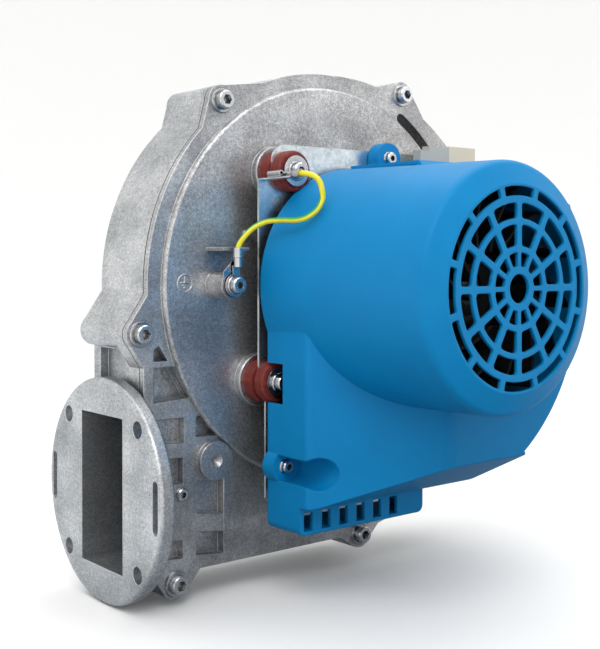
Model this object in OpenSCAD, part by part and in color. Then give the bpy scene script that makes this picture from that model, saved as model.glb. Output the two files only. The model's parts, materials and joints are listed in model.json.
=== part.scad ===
// Direct-current blower for a premix gas burner: a die-cast scroll with a side outlet flange,
// a radial impeller, and an outer-rotor motor hung on three rubber bushes under a vented cover.
//
// The origin is the centre of the intake on the back face of the scroll. +Z is up, the motor
// points along -Y and the outlet faces -X. Every module is drawn in a working frame where x is
// the part's X, y is the part's Z and z is the depth in front of the intake face.

/* [Scroll] */
// Radius of the outside wall on the left and over the top, about the shaft
shell_r = 121.8; // [120:0.2:123]
// Radius of the large outside arc on the right
sweep_r = 137; // [135:0.5:141]
// Distance of the large arc's centre to the right of the shaft
sweep_x = 10; // [8:0.5:12]
// Distance of the large arc's centre below the shaft
sweep_drop = 15; // [13:0.5:17]
// Thickness of the scroll's side wall
wall_t = 3; // [2.5:0.1:4]
// Thickness of the scroll's back wall
back_t = 4; // [3:0.2:6]
// Inside depth of the scroll
chamber_w = 44; // [42:0.5:50]
// Radius of the inside arc on the left, from the tongue to the top
inner_r = 111; // [109:0.5:113]
// Rounding of the scroll's back edge
back_round = 6; // [3:0.5:8]
// Distance from the left side of the duct block to the shaft
block_x = 124; // [123:0.5:125]
// Height of the top of the duct block, below the shaft
block_top = 30; // [26:1:34]

/* [Intake] */
// Height of the intake boss behind the back wall
intake_h = 6; // [5:0.5:8]
// Radius of the intake boss
intake_boss_r = 62; // [61:0.5:66]
// Radius of the spigot that a mixer plugs into
spigot_r = 45; // [43:0.5:47]
// Depth of the spigot
spigot_h = 4; // [3:0.5:5]
// Radius of the intake opening behind the spigot
intake_r = 40; // [38:0.5:41]
// Diameter of the circle of intake screws
intake_pcd = 110; // [108:0.5:112]
// Radius of the tapped intake holes
intake_hole_r = 2.5; // [2:0.1:3.5]
// Number of intake holes
intake_holes = 4; // [3:1:8]
// Number of stiffening ribs on the back wall
back_ribs = 9; // [6:1:14]
// Room that the scroll leaves round the impeller
wheel_room = 6; // [4:0.5:8]

/* [Outlet] */
// Distance from the shaft to the outlet face
flange_x = 134; // [132:0.5:137]
// Diameter of the outlet flange
flange_d = 120; // [118:0.5:124]
// Thickness of the outlet flange
flange_t = 8.5; // [7:0.5:10]
// Rounding of the flange's rim
flange_round = 2; // [1:0.25:3]
// Height of the outlet opening
duct_h = 81; // [76:0.5:81]
// Diameter of the circle of flange holes
flange_pcd = 104; // [102:0.5:106]
// Radius of the flange holes
flange_hole_r = 4.5; // [3.5:0.25:5]
// Distance of each slot from the middle of the flange
slot_offset = 53.7; // [53:0.1:54.5]
// Width of the slots
slot_w = 5; // [4:0.25:6]
// Length of the slots
slot_len = 27; // [20:1:30]

/* [Front plate] */
// Thickness of the gasket between scroll and front plate
gasket_t = 0.8; // [0.5:0.1:1.5]
// Thickness of the front plate's rim
rim_t = 3.7; // [3:0.1:5]
// Radius of the raised middle of the front plate
dish_r = 113.5; // [112:0.5:114]
// Height of the raised middle above the rim
dish_h = 2.5; // [2:0.1:3.5]
// Rounding of the edge of the raised middle
dish_round = 1.8; // [1:0.1:1.9]
// Depth of the moulded pockets beside the duct
pocket_depth = 5.7; // [4:0.1:6.5]
// Thickness left under the pockets
pocket_floor = 2; // [1.5:0.1:3]
// Depth of the curved pocket at the top right
trough_depth = 9; // [6:0.5:12]
// Width of the curved pocket
trough_w = 6.5; // [5:0.25:8]
// Radius of the screw lugs
lug_r = 8.5; // [8:0.25:9]
// Height of the earth boss
earth_h = 15; // [12:0.5:18]
// Radius of the earth boss
earth_r = 7.4; // [6.5:0.1:8]

/* [Screws] */
// Radius of the cover screws' thread
screw_r = 3; // [2.5:0.25:3.5]
// Radius of the cover screws' heads
screw_head_r = 5; // [4.5:0.25:5.5]
// Radius of the flange under the screw heads
screw_flange_r = 7; // [6.5:0.25:7.5]
// Length of the cover screws' thread
screw_len = 18; // [14:1:24]

/* [Impeller] */
// Radius of the impeller
wheel_r = 90; // [86:0.5:92]
// Width of the blades at the rim
blade_w = 18; // [15:0.5:20]
// Number of impeller blades
blades = 11; // [8:1:14]
// Thickness of the blades
blade_t = 1.5; // [1:0.1:2.5]
// Angle by which a blade leans back from root to tip
blade_sweep = 52; // [40:1:60]
// Radius of the impeller's eye
eye_r = 43; // [42.5:0.5:45]
// Thickness of the impeller's two discs
wheel_t = 1.3; // [1:0.1:2]

/* [Motor mount] */
// Radius of the circle on which the rubber bushes sit
bush_pcr = 75; // [74:0.25:76]
// Radius of the front collar of a bush
bush_r = 11.3; // [10.5:0.1:12]
// Thickness of the front collar of a bush
bush_front = 6.5; // [5.5:0.25:7]
// Height of the bush bosses above the front plate
bush_boss_h = 4.5; // [3.5:0.25:6]
// Gap between the front plate and the motor plate
plate_gap = 12; // [11:0.25:13.5]
// Thickness of the motor plate
plate_t = 1.5; // [1.2:0.1:2]
// Running gap between moving and fixed pieces of a fit
fit_gap = 0.05; // [0.03:0.01:0.08]
// Clearance between pieces that are slipped over each other
slip_gap = 0.4; // [0.3:0.05:0.6]

/* [Motor] */
// Radius of the shaft
shaft_r = 4; // [3.5:0.1:4.5]
// Radius of the outside of the bearings
bearing_r = 11; // [10.5:0.1:11.5]
// Width of the bearings
bearing_w = 7; // [6:0.5:8]
// Radius of the stator
stator_r = 40.4; // [39:0.1:41]
// Length of the stator
stator_len = 46; // [40:1:48]
// Number of stator teeth
teeth = 12; // [9:3:15]
// Outside radius of the rotor
rotor_r = 47; // [46.5:0.25:48.5]
// Thickness of the rotor's steel
rotor_t = 3; // [2:0.25:3.5]
// Thickness of the magnets
magnet_t = 2.8; // [2:0.1:3]
// Number of magnets
magnets = 10; // [8:2:14]
// Radius of the cooling fan
fan_r = 55; // [50:0.5:57]
// Number of cooling fan blades
fan_blades = 13; // [7:1:17]

/* [Motor cover] */
// Radius of the cover's round part at its base
cap_base_r = 65; // [64:0.25:66]
// Radius of the cover's round part at its front edge
cap_front_r = 63.1; // [62:0.1:63.8]
// Distance from the front plate to the cover's base
cover_stand = 19; // [18.5:0.25:21]
// Distance from the front plate to the shoulder of the cover
cover_shoulder = 136; // [134:0.5:140]
// Height of the grille above the shoulder
grille_rise = 5.4; // [4.5:0.1:7]
// Wall of the cover
cover_wall = 2.4; // [2:0.1:3]
// Thickness of the grille
grille_t = 1.8; // [1.4:0.1:2.6]
// Rounding between the round part's side and its sloping shoulder
cap_round = 4.5; // [3.4:0.1:6]
// Radius of the flat face that holds the grille
grille_r = 51.2; // [50.8:0.1:53]
// Number of grille spokes
spokes = 12; // [8:1:16]
// Width of the spokes between the windows
spoke_w = 3.4; // [3:0.1:4]
// Rounding of the windows' corners
window_round = 1.6; // [1:0.1:2]
// Distance from the shaft to the left wall of the cover's box
box_left = 60; // [59:0.25:61]
// Distance from the shaft down to the lower edge of the box
box_low = 115; // [113:0.5:116]
// Distance from the shaft down to the bottom of the vent rail
rail_low = 130.3; // [128:0.1:133]
// Distance from the front plate to the front of the vent rail
rail_front = 46; // [44:0.5:48]
// Distance from the shaft to the right end of the vent rail
rail_right = 31; // [28:0.5:34]
// Distance from the front plate to the lower front edge of the box
box_front = 55; // [53:0.5:57]
// Distance from the front plate to the flat front of the box
box_flat = 95; // [93:0.5:98]
// Radius of the box's right side, about the shaft
box_r = 111; // [109:0.5:112]
// Height of the top of the box on the right
box_top = 67; // [64:0.5:70]
// Distance from the shaft to the right end of the box's lower part
box_foot = 62; // [60:0.5:64]
// Number of vents in the rail
rail_vents = 6; // [4:1:7]
// Rounding of the box's front left edge
box_round = 5; // [4:0.25:7]

/* [Earth lead] */
// Diameter of the earth lead
lead_d = 3; // [2.4:0.1:3.6]
// Radius of the earth terminal's ring
ring_r = 6.2; // [5.5:0.1:7]

/* [Hidden] */
$fn = 96;
tiny = 0.01;
over = 1;
far = 400;

// Depths in front of the intake face
plate_back = intake_h;
chamber_back = plate_back + back_t;
part_line = chamber_back + chamber_w;
cover_back = part_line + gasket_t;
rim_face = cover_back + rim_t;
dish_face = rim_face + dish_h;
boss_face = dish_face + bush_boss_h;
plate_rear = dish_face + plate_gap;
plate_face = plate_rear + plate_t;
base_face = dish_face + cover_stand;
shoulder_face = dish_face + cover_shoulder;
grille_face = shoulder_face + grille_rise;
box_edge = dish_face + box_front;
box_face = dish_face + box_flat;
rail_face = dish_face + rail_front;

// Outlet duct
duct_low = sweep_drop + sweep_r - wall_t;
duct_mid = -(duct_low - duct_h / 2);
duct_depth_mid = chamber_back + chamber_w / 2;
block_low = sweep_drop + sweep_r;
duct_top = duct_h - duct_low;
inner_rise = shell_r - wall_t - inner_r + 0.2;
neck_h = duct_h + 2 * wall_t;
neck_w = chamber_w + back_t + 2;

// Cover screws: the first three sit outside the shell, the next two below, the last two right
function polar(r, a) = [r * cos(a), r * sin(a)];
sweep_mid = [sweep_x, -sweep_drop];
screw_spots = [
  polar(shell_r + 3.3, 126.7),
  sweep_mid + polar(sweep_r + 3.1, 68.5),
  polar(shell_r + 6.2, 191),
  [-block_x + 19.4, -block_low - 5.4],
  sweep_mid + polar(sweep_r + 1, -83.2),
  sweep_mid + polar(sweep_r + 3, 20),
  sweep_mid + polar(sweep_r + 3, -38)];
// Each lug's web runs between these two points of the outline
lug_feet = [
  [polar(shell_r, 111), polar(shell_r, 136.5)],
  [sweep_mid + polar(sweep_r, 58), sweep_mid + polar(sweep_r, 78)],
  [polar(shell_r, 181.5), [-block_x, -block_top - 14]],
  [[-block_x + 4, -block_low], [-block_x + 35.2, -block_low]],
  [sweep_mid + polar(sweep_r, -90), sweep_mid + polar(sweep_r, -76)],
  [sweep_mid + polar(sweep_r, 14), sweep_mid + polar(sweep_r, 26)],
  [sweep_mid + polar(sweep_r, -44), sweep_mid + polar(sweep_r, -32)]];
lug_tails = [16, 12, 9, 14, 14, 14, 14];
// The lug above the outlet has its lower web only near the front
left_lug = 2;
left_web = 10;

// Bushes, by angle about the shaft
bush_angles = [124, 224.5, -6];
bush_waist = 8;
bush_tail_r = 12;
bush_boss_r = 14.5;
sleeve_r = 4.2;
sleeve_bore = 2.7;
bush_screw_r = 2.5;
washer_r = 8.4;
washer_t = 1.2;
bush_face = plate_face + bush_front;

// Earth boss and big round boss on the front plate
earth_at = [-79.8, 0.4];
stud_boss_at = [-block_x + 43.3, -block_low + 57.4];
plug_at = [-block_x + 23.1, -block_low + 41.4];
stud_boss_r = 10.5;

// Motor
mount_hole_r = 16;
tube_r = 13;
tube_flange_r = 30;
tube_flange_t = 4;
tube_front = plate_face + 79;
rear_seat = plate_rear - 1;
front_seat = tube_front - bearing_w;
stator_back = plate_face + 19;
yoke_r = 20;
bell_back = stator_back - 8;
bell_end = tube_front + 4;
fan_back = bell_end + rotor_t;
fan_len = 30;

// Grille rings: inner and outer radius of each row of windows
centre_hole_r = 7.2;
grille_rows = [[10.9, 17.8], [20.8, 31.4], [34.2, 41.9]];
outer_row = [45.3, 50];

// Cover screws of the motor cover
right_lug_h = box_top - 21;
lug_spots = [[27, box_top + 5.5], [-box_left + 5.5, -box_low + 18.2],
  [sqrt((box_r - 15.2) ^ 2 - right_lug_h ^ 2), right_lug_h]];
lug_floor = 3.5;
lug_seats = [base_face + lug_floor, dish_face + 28, dish_face + 28];
well_r = 8.5;
cover_lug_r = 9.2;
cover_screw_r = 2;

// Earth lead: route of the lead, from the spade receptacle to the ring terminal. Each point is
// X, height and distance in front of the raised middle of the front plate.
lead_route = [[-56.5, 58.9, 42], [-56.3, 58.9, 45.2], [-54.6, 57.4, 51], [-53, 54.5, 53.8],
  [-52.2, 50, 55], [-51.9, 45.5, 55], [-55.2, 39.6, 54.5], [-59.4, 35.6, 51], [-61.3, 34.4, 45],
  [-62.3, 34.6, 38], [-63, 34.6, 32], [-66, 33.9, 25.5], [-71.3, 31, 22.3], [-75.8, 26.7, 20.6],
  [-78.8, 21.8, 19.1], [-79.4, 17.4, 18.6]];

// ---------------------------------------------------------------- helpers

// Turns the working frame into the part's frame
module front() {
  rotate([90, 0, 0]) children();
}

// A plate from one depth to another
module slab(from, to) {
  translate([0, 0, from]) linear_extrude(to - from) children();
}

// A round bar along the depth
module bar(at, r, from, to) {
  translate([at[0], at[1], from]) cylinder(r = r, h = to - from);
}

// A ring along the depth
module ring(at, r_out, r_in, from, to) {
  difference() {
    bar(at, r_out, from, to);
    bar(at, r_in, from - over, to + over);
  }
}

// A disc whose rear edge is rounded
module round_back_disc(r, edge, from, to) {
  translate([0, 0, from]) rotate_extrude() {
    translate([0, edge]) square([r, to - from - edge]);
    square([r - edge, edge + tiny]);
    intersection() {
      translate([r - edge, edge]) circle(edge);
      translate([r - edge - tiny, 0]) square([edge + tiny, edge + tiny]);
    }
  }
}

// A disc whose front edge is rounded
module round_front_disc(r, edge, from, to) {
  translate([0, 0, from]) rotate_extrude() {
    square([r, to - from - edge]);
    translate([0, to - from - edge - tiny]) square([r - edge, edge + tiny]);
    intersection() {
      translate([r - edge, to - from - edge]) circle(edge);
      translate([r - edge - tiny, to - from - edge - tiny]) square([edge + tiny, edge + tiny]);
    }
  }
}

// Where a line from point a touches a circle about s; side is 1 or -1
function touch(a, s, r, side) =
  let (d = a - s, far = norm(d), lean = acos(r / far), dir = atan2(d[1], d[0]))
  s + polar(r, dir + side * lean);

// A screw lug with its web
module lug_2d(spot, feet, r) {
  inside = [feet[0] * 0.994, feet[1] * 0.994];
  translate(spot) circle(r);
  polygon([feet[0] * 0.95, inside[0], touch(inside[0], spot, r - 0.3, 1), spot,
    touch(inside[1], spot, r - 0.3, -1), inside[1], feet[1] * 0.95]);
}

// Half of a lug: one web and the wall behind the screw
module half_lug_2d(spot, foot, r, side) {
  translate(spot) circle(r);
  polygon([foot * 0.95, foot * 0.994, touch(foot * 0.994, spot, r - 0.3, side), spot, spot * 0.93]);
}

// Points of an arc about a centre
function arc_points(c, r, from, to, n = 6) = [for (k = [0:n]) c + polar(r, from + (to - from) * k / n)];

// A sector of a ring between two angles of less than a half turn
module arc_band(r_in, r_out, a0, a1) {
  mid = (a0 + a1) / 2;
  reach = 1.2 * r_out / cos((a1 - a0) / 4);
  intersection() {
    difference() {
      circle(r_out);
      circle(r_in);
    }
    polygon([[0, 0], polar(reach, a0), polar(reach * 1.2, mid), polar(reach, a1)]);
  }
}

// ---------------------------------------------------------------- scroll

// Outline that scroll, gasket and front plate share
module outline_2d(grow = 0) {
  circle(shell_r + grow, $fn = 180);
  intersection() {
    translate(sweep_mid) circle(sweep_r + grow, $fn = 180);
    sweep_side_2d();
  }
  translate([-block_x, -block_low]) square([block_x + sweep_x, block_low - block_top]);
}

// Side on which the large arc bounds the scroll, with one wall more at the top
module sweep_side_2d() {
  polygon([[sweep_x, -far], [far, -far], [far, far], [sweep_x - wall_t, far], [sweep_x - wall_t, 0],
    [sweep_x, 0]]);
}

module lugs_2d() {
  for (i = [0:len(screw_spots) - 1]) lug_2d(screw_spots[i], lug_feet[i], lug_r);
}

// Inside of the scroll, seen from the front and drawn in by a margin
module chamber_2d(in = 0) {
  intersection() {
    translate([sweep_x, inner_rise]) circle(inner_r - in, $fn = 180);
    translate([sweep_x - far, -far / 2]) square(far);
  }
  intersection() {
    translate(sweep_mid) circle(sweep_r - wall_t - in, $fn = 180);
    translate([sweep_x, -far / 2]) square(far);
  }
  circle(wheel_r + wheel_room - in, $fn = 180);
  translate([-block_x - over, -duct_low + in]) square([block_x + over + sweep_x, duct_h - 2 * in]);
}

// Moulded pockets above the duct, which run on into the scroll
module open_pockets_2d() {
  translate([-block_x, -block_top]) {
    polygon([[6, -3], [9.2, -1], [14.7, -9.3], [6, -9.3]]);
    polygon([[6, -12.3], [18.5, -12.3], [28.8, -29.6], [6, -31.2]]);
  }
}

// Moulded pockets in front of the duct
module shut_pockets_2d() {
  translate([-block_x, duct_top]) {
    polygon([[6, -1.5], [24.6, -1.9], [24.6, -15.7], [6, -14.4]]);
    polygon([[32.3, -2], [32.2, -13.1], [47.2, -13.6], [39.2, -2]]);
  }
  translate([-block_x, -block_low]) {
    polygon([[10, 62], [24, 60.9], [24, 46.8], [10, 47.7]]);
    polygon([[10, 37], [18, 37], [18, 25.6], [10, 25.6]]);
    polygon([[10, 18.5], [23.9, 17.1], [23.9, 7.2], [10, 8]]);
    polygon([[32.8, 48], [50.3, 46], [50.3, 26.9], [32.8, 29.5]]);
    polygon([[32.2, 20.5], [50.3, 17.6], [50.3, 5.5], [32.2, 7.4]]);
  }
}

module flange() {
  translate([-flange_x, duct_mid, duct_depth_mid]) rotate([0, 90, 0]) rotate_extrude($fn = 180) {
    square([flange_d / 2 - flange_round, flange_t]);
    translate([0, flange_round]) square([flange_d / 2, flange_t - 2 * flange_round]);
    for (edge = [flange_round, flange_t - flange_round]) {
      translate([flange_d / 2 - flange_round, edge]) circle(flange_round);
    }
  }
}

module flange_cuts() {
  translate([-flange_x - over, duct_mid, duct_depth_mid]) rotate([0, 90, 0]) {
    for (a = [45:90:315]) {
      translate(polar(flange_pcd / 2, a)) cylinder(r = flange_hole_r, h = flange_t + 2 * over);
    }
    for (side = [-1, 1]) translate([side * slot_offset, 0, 0]) linear_extrude(flange_t + 2 * over) {
      square([slot_w, slot_len - slot_w], center = true);
      for (end = [-1, 1]) translate([0, end * (slot_len - slot_w) / 2]) circle(slot_w / 2);
    }
  }
}

module scroll_housing() {
  color("silver") front() difference() {
    union() {
      round_back_disc(shell_r, back_round, plate_back, part_line, $fn = 180);
      intersection() {
        translate(sweep_mid) round_back_disc(sweep_r, back_round, plate_back, part_line, $fn = 180);
        slab(0, far / 2) sweep_side_2d();
      }
      // Duct block, with a rounded lower back edge
      translate([-block_x, -block_low, plate_back + back_round]) {
        cube([block_x + sweep_x, block_low - block_top, part_line - plate_back - back_round]);
      }
      translate([-block_x, -block_low + back_round, plate_back]) {
        cube([block_x + sweep_x, block_low - block_top - back_round, back_round + tiny]);
      }
      translate([-block_x, -block_low + back_round, plate_back + back_round]) rotate([0, 90, 0]) {
        cylinder(r = back_round, h = block_x + sweep_x);
      }
      for (i = [0:len(screw_spots) - 1]) {
        slab(i == left_lug ? part_line - left_web : lug_tails[i], part_line) {
          lug_2d(screw_spots[i], lug_feet[i], lug_r);
        }
      }
      slab(lug_tails[left_lug], part_line - left_web + tiny) {
        half_lug_2d(screw_spots[left_lug], lug_feet[left_lug][0], lug_r, 1);
      }
      bar([0, 0], intake_boss_r, 0, plate_back + tiny);
      for (i = [0:back_ribs - 1]) rotate(i * 360 / back_ribs + 10) {
        translate([intake_boss_r - 2, -1.5, 1.5]) cube([50, 3, plate_back + over]);
      }
      flange();
      // Neck between the duct block and the flange
      translate([-flange_x + flange_t - tiny, -block_low, plate_back + over]) {
        cube([flange_x - flange_t - block_x - 0.3, neck_h, neck_w]);
        cube([flange_x - flange_t - block_x + over, neck_h, part_line - plate_back - over]);
      }
    }
    slab(chamber_back, part_line + over) chamber_2d();
    translate([-flange_x - over, duct_mid - duct_h / 2, chamber_back]) {
      cube([flange_x, duct_h, chamber_w]);
    }
    // Core in the thick wall between the inside arc and the shell
    slab(plate_back - over, part_line - 8) difference() {
      circle(shell_r - wall_t, $fn = 180);
      translate([sweep_x, inner_rise]) circle(inner_r + wall_t, $fn = 180);
      translate([-shell_r / 2, -far / 2]) square(far);
      translate([-far / 2, -far / 2]) square([far / 2, far / 2 - 6]);
    }
    slab(part_line - 4, part_line + over) open_pockets_2d();
    // Side pocket over the duct
    translate([-block_x - over, -block_top - 32, chamber_back + wall_t]) cube([5 + over, 28, 28]);
    bar([0, 0], spigot_r, -over, spigot_h);
    bar([0, 0], intake_r, -over, chamber_back + over);
    for (i = [0:intake_holes - 1]) {
      bar(polar(intake_pcd / 2, 45 + i * 360 / intake_holes), intake_hole_r, -over, intake_h + 2);
    }
    for (spot = nozzle_spots) bar(spot, nozzle_screw_r, chamber_back - 3, chamber_back + over);
    for (spot = screw_spots) bar(spot, screw_r, rim_face - screw_len, part_line + over);
    flange_cuts();
  }
}

// ---------------------------------------------------------------- front plate

plug_r = 2.5;
nozzle_screw_r = 1.5;
nozzle_flange_r = 54;
nozzle_bend_r = intake_r + 8;
nozzle_spots = [for (a = [90, 210, 330]) polar((nozzle_bend_r + nozzle_flange_r) / 2, a)];
trough_a = [29, 59];
trough_mid = dish_r + over + trough_w / 2;

// Curved pocket at the top right, with rounded ends
module trough_2d() {
  arc_band(trough_mid - trough_w / 2, trough_mid + trough_w / 2, trough_a[0], trough_a[1]);
  for (a = trough_a) translate(polar(trough_mid, a)) circle(trough_w / 2 - 0.15);
}

module front_plate() {
  pad_back = rim_face - pocket_depth - pocket_floor;
  pad_w = 56;
  color("lightgray") front() difference() {
    union() {
      slab(cover_back, rim_face) {
        outline_2d();
        lugs_2d();
      }
      round_front_disc(dish_r, dish_round, cover_back, dish_face, $fn = 180);
      // Pad inside the duct that carries the pockets
      slab(pad_back, cover_back + tiny) translate([-block_x + 2, -duct_low + 0.5]) {
        square([pad_w, duct_h - 1]);
      }
      slab(rim_face - trough_depth - pocket_floor, cover_back + tiny) intersection() {
        arc_band(trough_mid - trough_w / 2 - 2, trough_mid + trough_w / 2 + 2, trough_a[0] - 3, trough_a[1] + 3);
        chamber_2d(0.5);
      }
      for (a = bush_angles) bar(polar(bush_pcr, a), bush_boss_r, dish_face - over, boss_face);
      bar(earth_at, earth_r, dish_face - over, dish_face + earth_h);
      // Rib that stops the earth terminal from turning
      translate([earth_at[0] - 6.5, earth_at[1] + 18.2, dish_face - over]) cube([17, 1.8, earth_h + over]);
      bar(stud_boss_at, stud_boss_r, cover_back, dish_face + 1);
      bar([0, 0], 30, dish_face - over, dish_face + 3);
      // Ribs beside the motor, from the hub towards the rim
      for (a = [155, 255, 300, 30]) rotate(a) {
        translate([28, -1.25, dish_face - over]) cube([40, 2.5, over + 2]);
      }
    }
    slab(cover_back - over, rim_face + over) open_pockets_2d();
    slab(pad_back + pocket_floor, rim_face + over) shut_pockets_2d();
    slab(rim_face - trough_depth, dish_face + over) intersection() {
      trough_2d();
      chamber_2d(2.5);
    }
    // Hollow behind the raised middle
    bar([0, 0], dish_r - 8, cover_back - over, cover_back + 2.2);
    bar([0, 0], seal_r, cover_back - over, dish_face + 4);
    for (a = bush_angles) bar(polar(bush_pcr, a), bush_screw_r, cover_back + 3.4, boss_face + over);
    bar(earth_at, 2.5, dish_face + earth_h - 12, dish_face + earth_h + over);
    translate([stud_boss_at[0], stud_boss_at[1], dish_face - 2]) cylinder(r1 = 0.6, r2 = 4.6, h = 4);
    for (spot = screw_spots) {
      bar(spot, screw_r + 0.3, cover_back - over, rim_face + over);
      // Seat of the screw's flange
      bar(spot, screw_flange_r + slip_gap, rim_face, dish_face + over);
    }
    bar(plug_at, plug_r, pad_back - over, rim_face + over);
  }
}

module housing_gasket() {
  color("dimgray") front() slab(part_line, cover_back) difference() {
    union() {
      difference() {
        outline_2d();
        circle(shell_r - 12, $fn = 180);
      }
      lugs_2d();
    }
    chamber_2d();
    open_pockets_2d();
    for (spot = screw_spots) translate(spot) circle(screw_r + 0.3);
  }
}

// Socket-head screw with a flange, its head's seat at depth 0, pointing to +z
module flange_screw(r, head_r, head_h, flange_r, flange_t, len, socket) {
  difference() {
    union() {
      translate([0, 0, -len]) cylinder(r = r, h = len + tiny, $fn = 32);
      cylinder(r1 = flange_r, r2 = flange_r - 0.5, h = flange_t, $fn = 48);
      translate([0, 0, flange_t - tiny]) cylinder(r = head_r, h = head_h - 0.6 + tiny, $fn = 48);
      translate([0, 0, flange_t + head_h - 0.6]) cylinder(r1 = head_r, r2 = head_r - 0.6, h = 0.6, $fn = 48);
    }
    translate([0, 0, flange_t + head_h * 0.15]) cylinder(r = socket, h = head_h, $fn = 6);
  }
}

module cover_screws() {
  color("gainsboro") front() for (spot = screw_spots) translate([spot[0], spot[1], rim_face]) {
    flange_screw(screw_r, screw_head_r, 4.4, screw_flange_r, 1.2, screw_len, 2.9);
  }
}

module duct_plug_screw() {
  color("gray") front() translate([plug_at[0], plug_at[1], rim_face]) {
    flange_screw(plug_r, 3.4, 1.8, 3.6, 0.4, rim_face - part_line + 3.5, 1.7);
  }
}

// ---------------------------------------------------------------- intake and impeller

eye_back = chamber_back + 6;
wheel_face = part_line - 11;
wheel_rear = wheel_face - wheel_t;
rim_back = wheel_rear - blade_w;
hub_r = 12;

// Turned nozzle whose lip reaches into the impeller's eye
module intake_nozzle() {
  lip = 1.4;
  lip_r = eye_r - 1 - lip;
  bend = nozzle_bend_r - lip_r;
  turn = [lip_r + bend, bend];
  top = eye_back - chamber_back + 3;
  outside = [for (a = [180:15:270]) turn + polar(bend, a)];
  inside = [for (a = [270:-15:180]) turn + polar(bend - lip, a)];
  color("darkgray") front() difference() {
    translate([0, 0, chamber_back]) rotate_extrude($fn = 120) {
      polygon(concat([[lip_r, top]], outside, [[nozzle_flange_r, 0], [nozzle_flange_r, lip]], inside,
        [[lip_r + lip, top]]));
    }
    for (spot = nozzle_spots) bar(spot, nozzle_screw_r + 0.2, chamber_back - over, chamber_back + 4);
  }
}

module nozzle_screws() {
  color("gainsboro") front() for (spot = nozzle_spots) {
    translate([spot[0], spot[1], chamber_back + 1.4]) {
      flange_screw(nozzle_screw_r, 2.2, 1.2, 2.8, 0.4, 4, 1);
    }
  }
}

// Space that the blades fill between the shroud and the back disc
module blade_space() {
  rotate_extrude($fn = 120) {
    polygon([[hub_r + 10, eye_back + wheel_t], [eye_r + 3, eye_back + wheel_t + fit_gap],
      [wheel_r - 1, rim_back + fit_gap], [wheel_r - 1, wheel_rear + tiny], [hub_r + 10, wheel_rear + tiny]]);
  }
}

// A curved blade from an inner to an outer radius, leaning back by an angle
module blade_2d(r_in, r_out, lean, t, bow_part) {
  root = polar(r_in + 0.5, 0);
  tip = polar(r_out - 0.5, -lean);
  chord = tip - root;
  bow = norm(chord) * bow_part;
  hub = (root + tip) / 2 + bow * [chord[1], -chord[0]] / norm(chord);
  arc_r = norm(root - hub);
  intersection() {
    translate(hub) difference() {
      circle(arc_r + t / 2, $fn = 120);
      circle(arc_r - t / 2, $fn = 120);
    }
    difference() {
      circle(r_out, $fn = 120);
      circle(r_in, $fn = 120);
    }
    polygon([[0, 0], polar(r_out * 1.3, 14), polar(r_out * 1.6, -lean / 2), polar(r_out * 1.3, -lean - 14)]);
  }
}

module impeller_wheel() {
  color("whitesmoke") front() difference() {
    union() {
      bar([0, 0], wheel_r, wheel_rear, wheel_face, $fn = 120);
      intersection() {
        slab(eye_back, wheel_rear + tiny) for (i = [0:blades - 1]) rotate(i * 360 / blades) {
          blade_2d(eye_r + 0.5, wheel_r - 1, blade_sweep, blade_t, 0.85);
        }
        blade_space();
      }
    }
    bar([0, 0], hub_r + fit_gap, wheel_rear - over, wheel_face + over);
  }
}

module impeller_shroud() {
  color("lightgray") front() rotate_extrude($fn = 120) {
    polygon([[eye_r, eye_back], [eye_r + 3, eye_back], [wheel_r, rim_back - wheel_t],
      [wheel_r, rim_back], [wheel_r - 1, rim_back], [eye_r + 3, eye_back + wheel_t],
      [eye_r, eye_back + wheel_t]]);
  }
}

module impeller_hub() {
  color("goldenrod") front() difference() {
    union() {
      bar([0, 0], hub_r, wheel_rear - 12, wheel_face + tiny);
      bar([0, 0], hub_r + 7, wheel_face, wheel_face + 3);
    }
    bar([0, 0], shaft_r, wheel_rear - 13, wheel_face + 4);
  }
}

module impeller_nut() {
  color("gainsboro") front() difference() {
    bar([0, 0], 6.9, wheel_rear - 17, wheel_rear - 12, $fn = 6);
    bar([0, 0], shaft_r, wheel_rear - 18, wheel_rear - 11);
  }
}

// ---------------------------------------------------------------- shaft and bearings

seal_r = 14;

module motor_shaft() {
  color("gainsboro") front() {
    bar([0, 0], shaft_r, wheel_rear - 20, fan_back + 12, $fn = 64);
  }
}

module shaft_seal() {
  color("dimgray") front() difference() {
    union() {
      bar([0, 0], seal_r, cover_back + 2.2, dish_face + 3);
      bar([0, 0], seal_r + 6, cover_back - 0.6, cover_back + 2.2);
    }
    bar([0, 0], shaft_r + 0.3, cover_back - over, dish_face + 4, $fn = 64);
  }
}

tube_spots = [for (a = [30, 150, 270]) polar(24, a)];
tube_screw_r = 2;

// Bearing tube with its flange, on which the stator is pressed
module bearing_tube() {
  color("silver") front() difference() {
    union() {
      bar([0, 0], tube_r, rear_seat - 1, tube_front);
      bar([0, 0], tube_flange_r, plate_face, plate_face + tube_flange_t);
      bar([0, 0], tube_r + 3, plate_face, stator_back);
    }
    bar([0, 0], bearing_r, rear_seat - 2, rear_seat + bearing_w);
    bar([0, 0], bearing_r, front_seat, tube_front + over);
    bar([0, 0], bearing_r - 2, rear_seat - 2, tube_front + over);
    for (spot = tube_spots) bar(spot, tube_screw_r, plate_face - over, plate_face + tube_flange_t + over);
  }
}

module tube_screws() {
  color("gainsboro") front() for (spot = tube_spots) {
    translate([spot[0], spot[1], plate_face + tube_flange_t]) {
      flange_screw(tube_screw_r, 3.4, 2.4, 4, 0.5, tube_flange_t + plate_t + 1.5, 1.7);
    }
  }
}

race_mid = bearing_r * 0.5 + shaft_r * 0.5;
ball_r = 1.9;

module race_pair(r_in, r_out, groove) {
  for (seat = [rear_seat, front_seat]) translate([0, 0, seat]) rotate_extrude() difference() {
    translate([r_in, 0]) square([r_out - r_in, bearing_w]);
    translate([race_mid, bearing_w / 2]) circle(groove, $fn = 48);
  }
}

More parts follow.
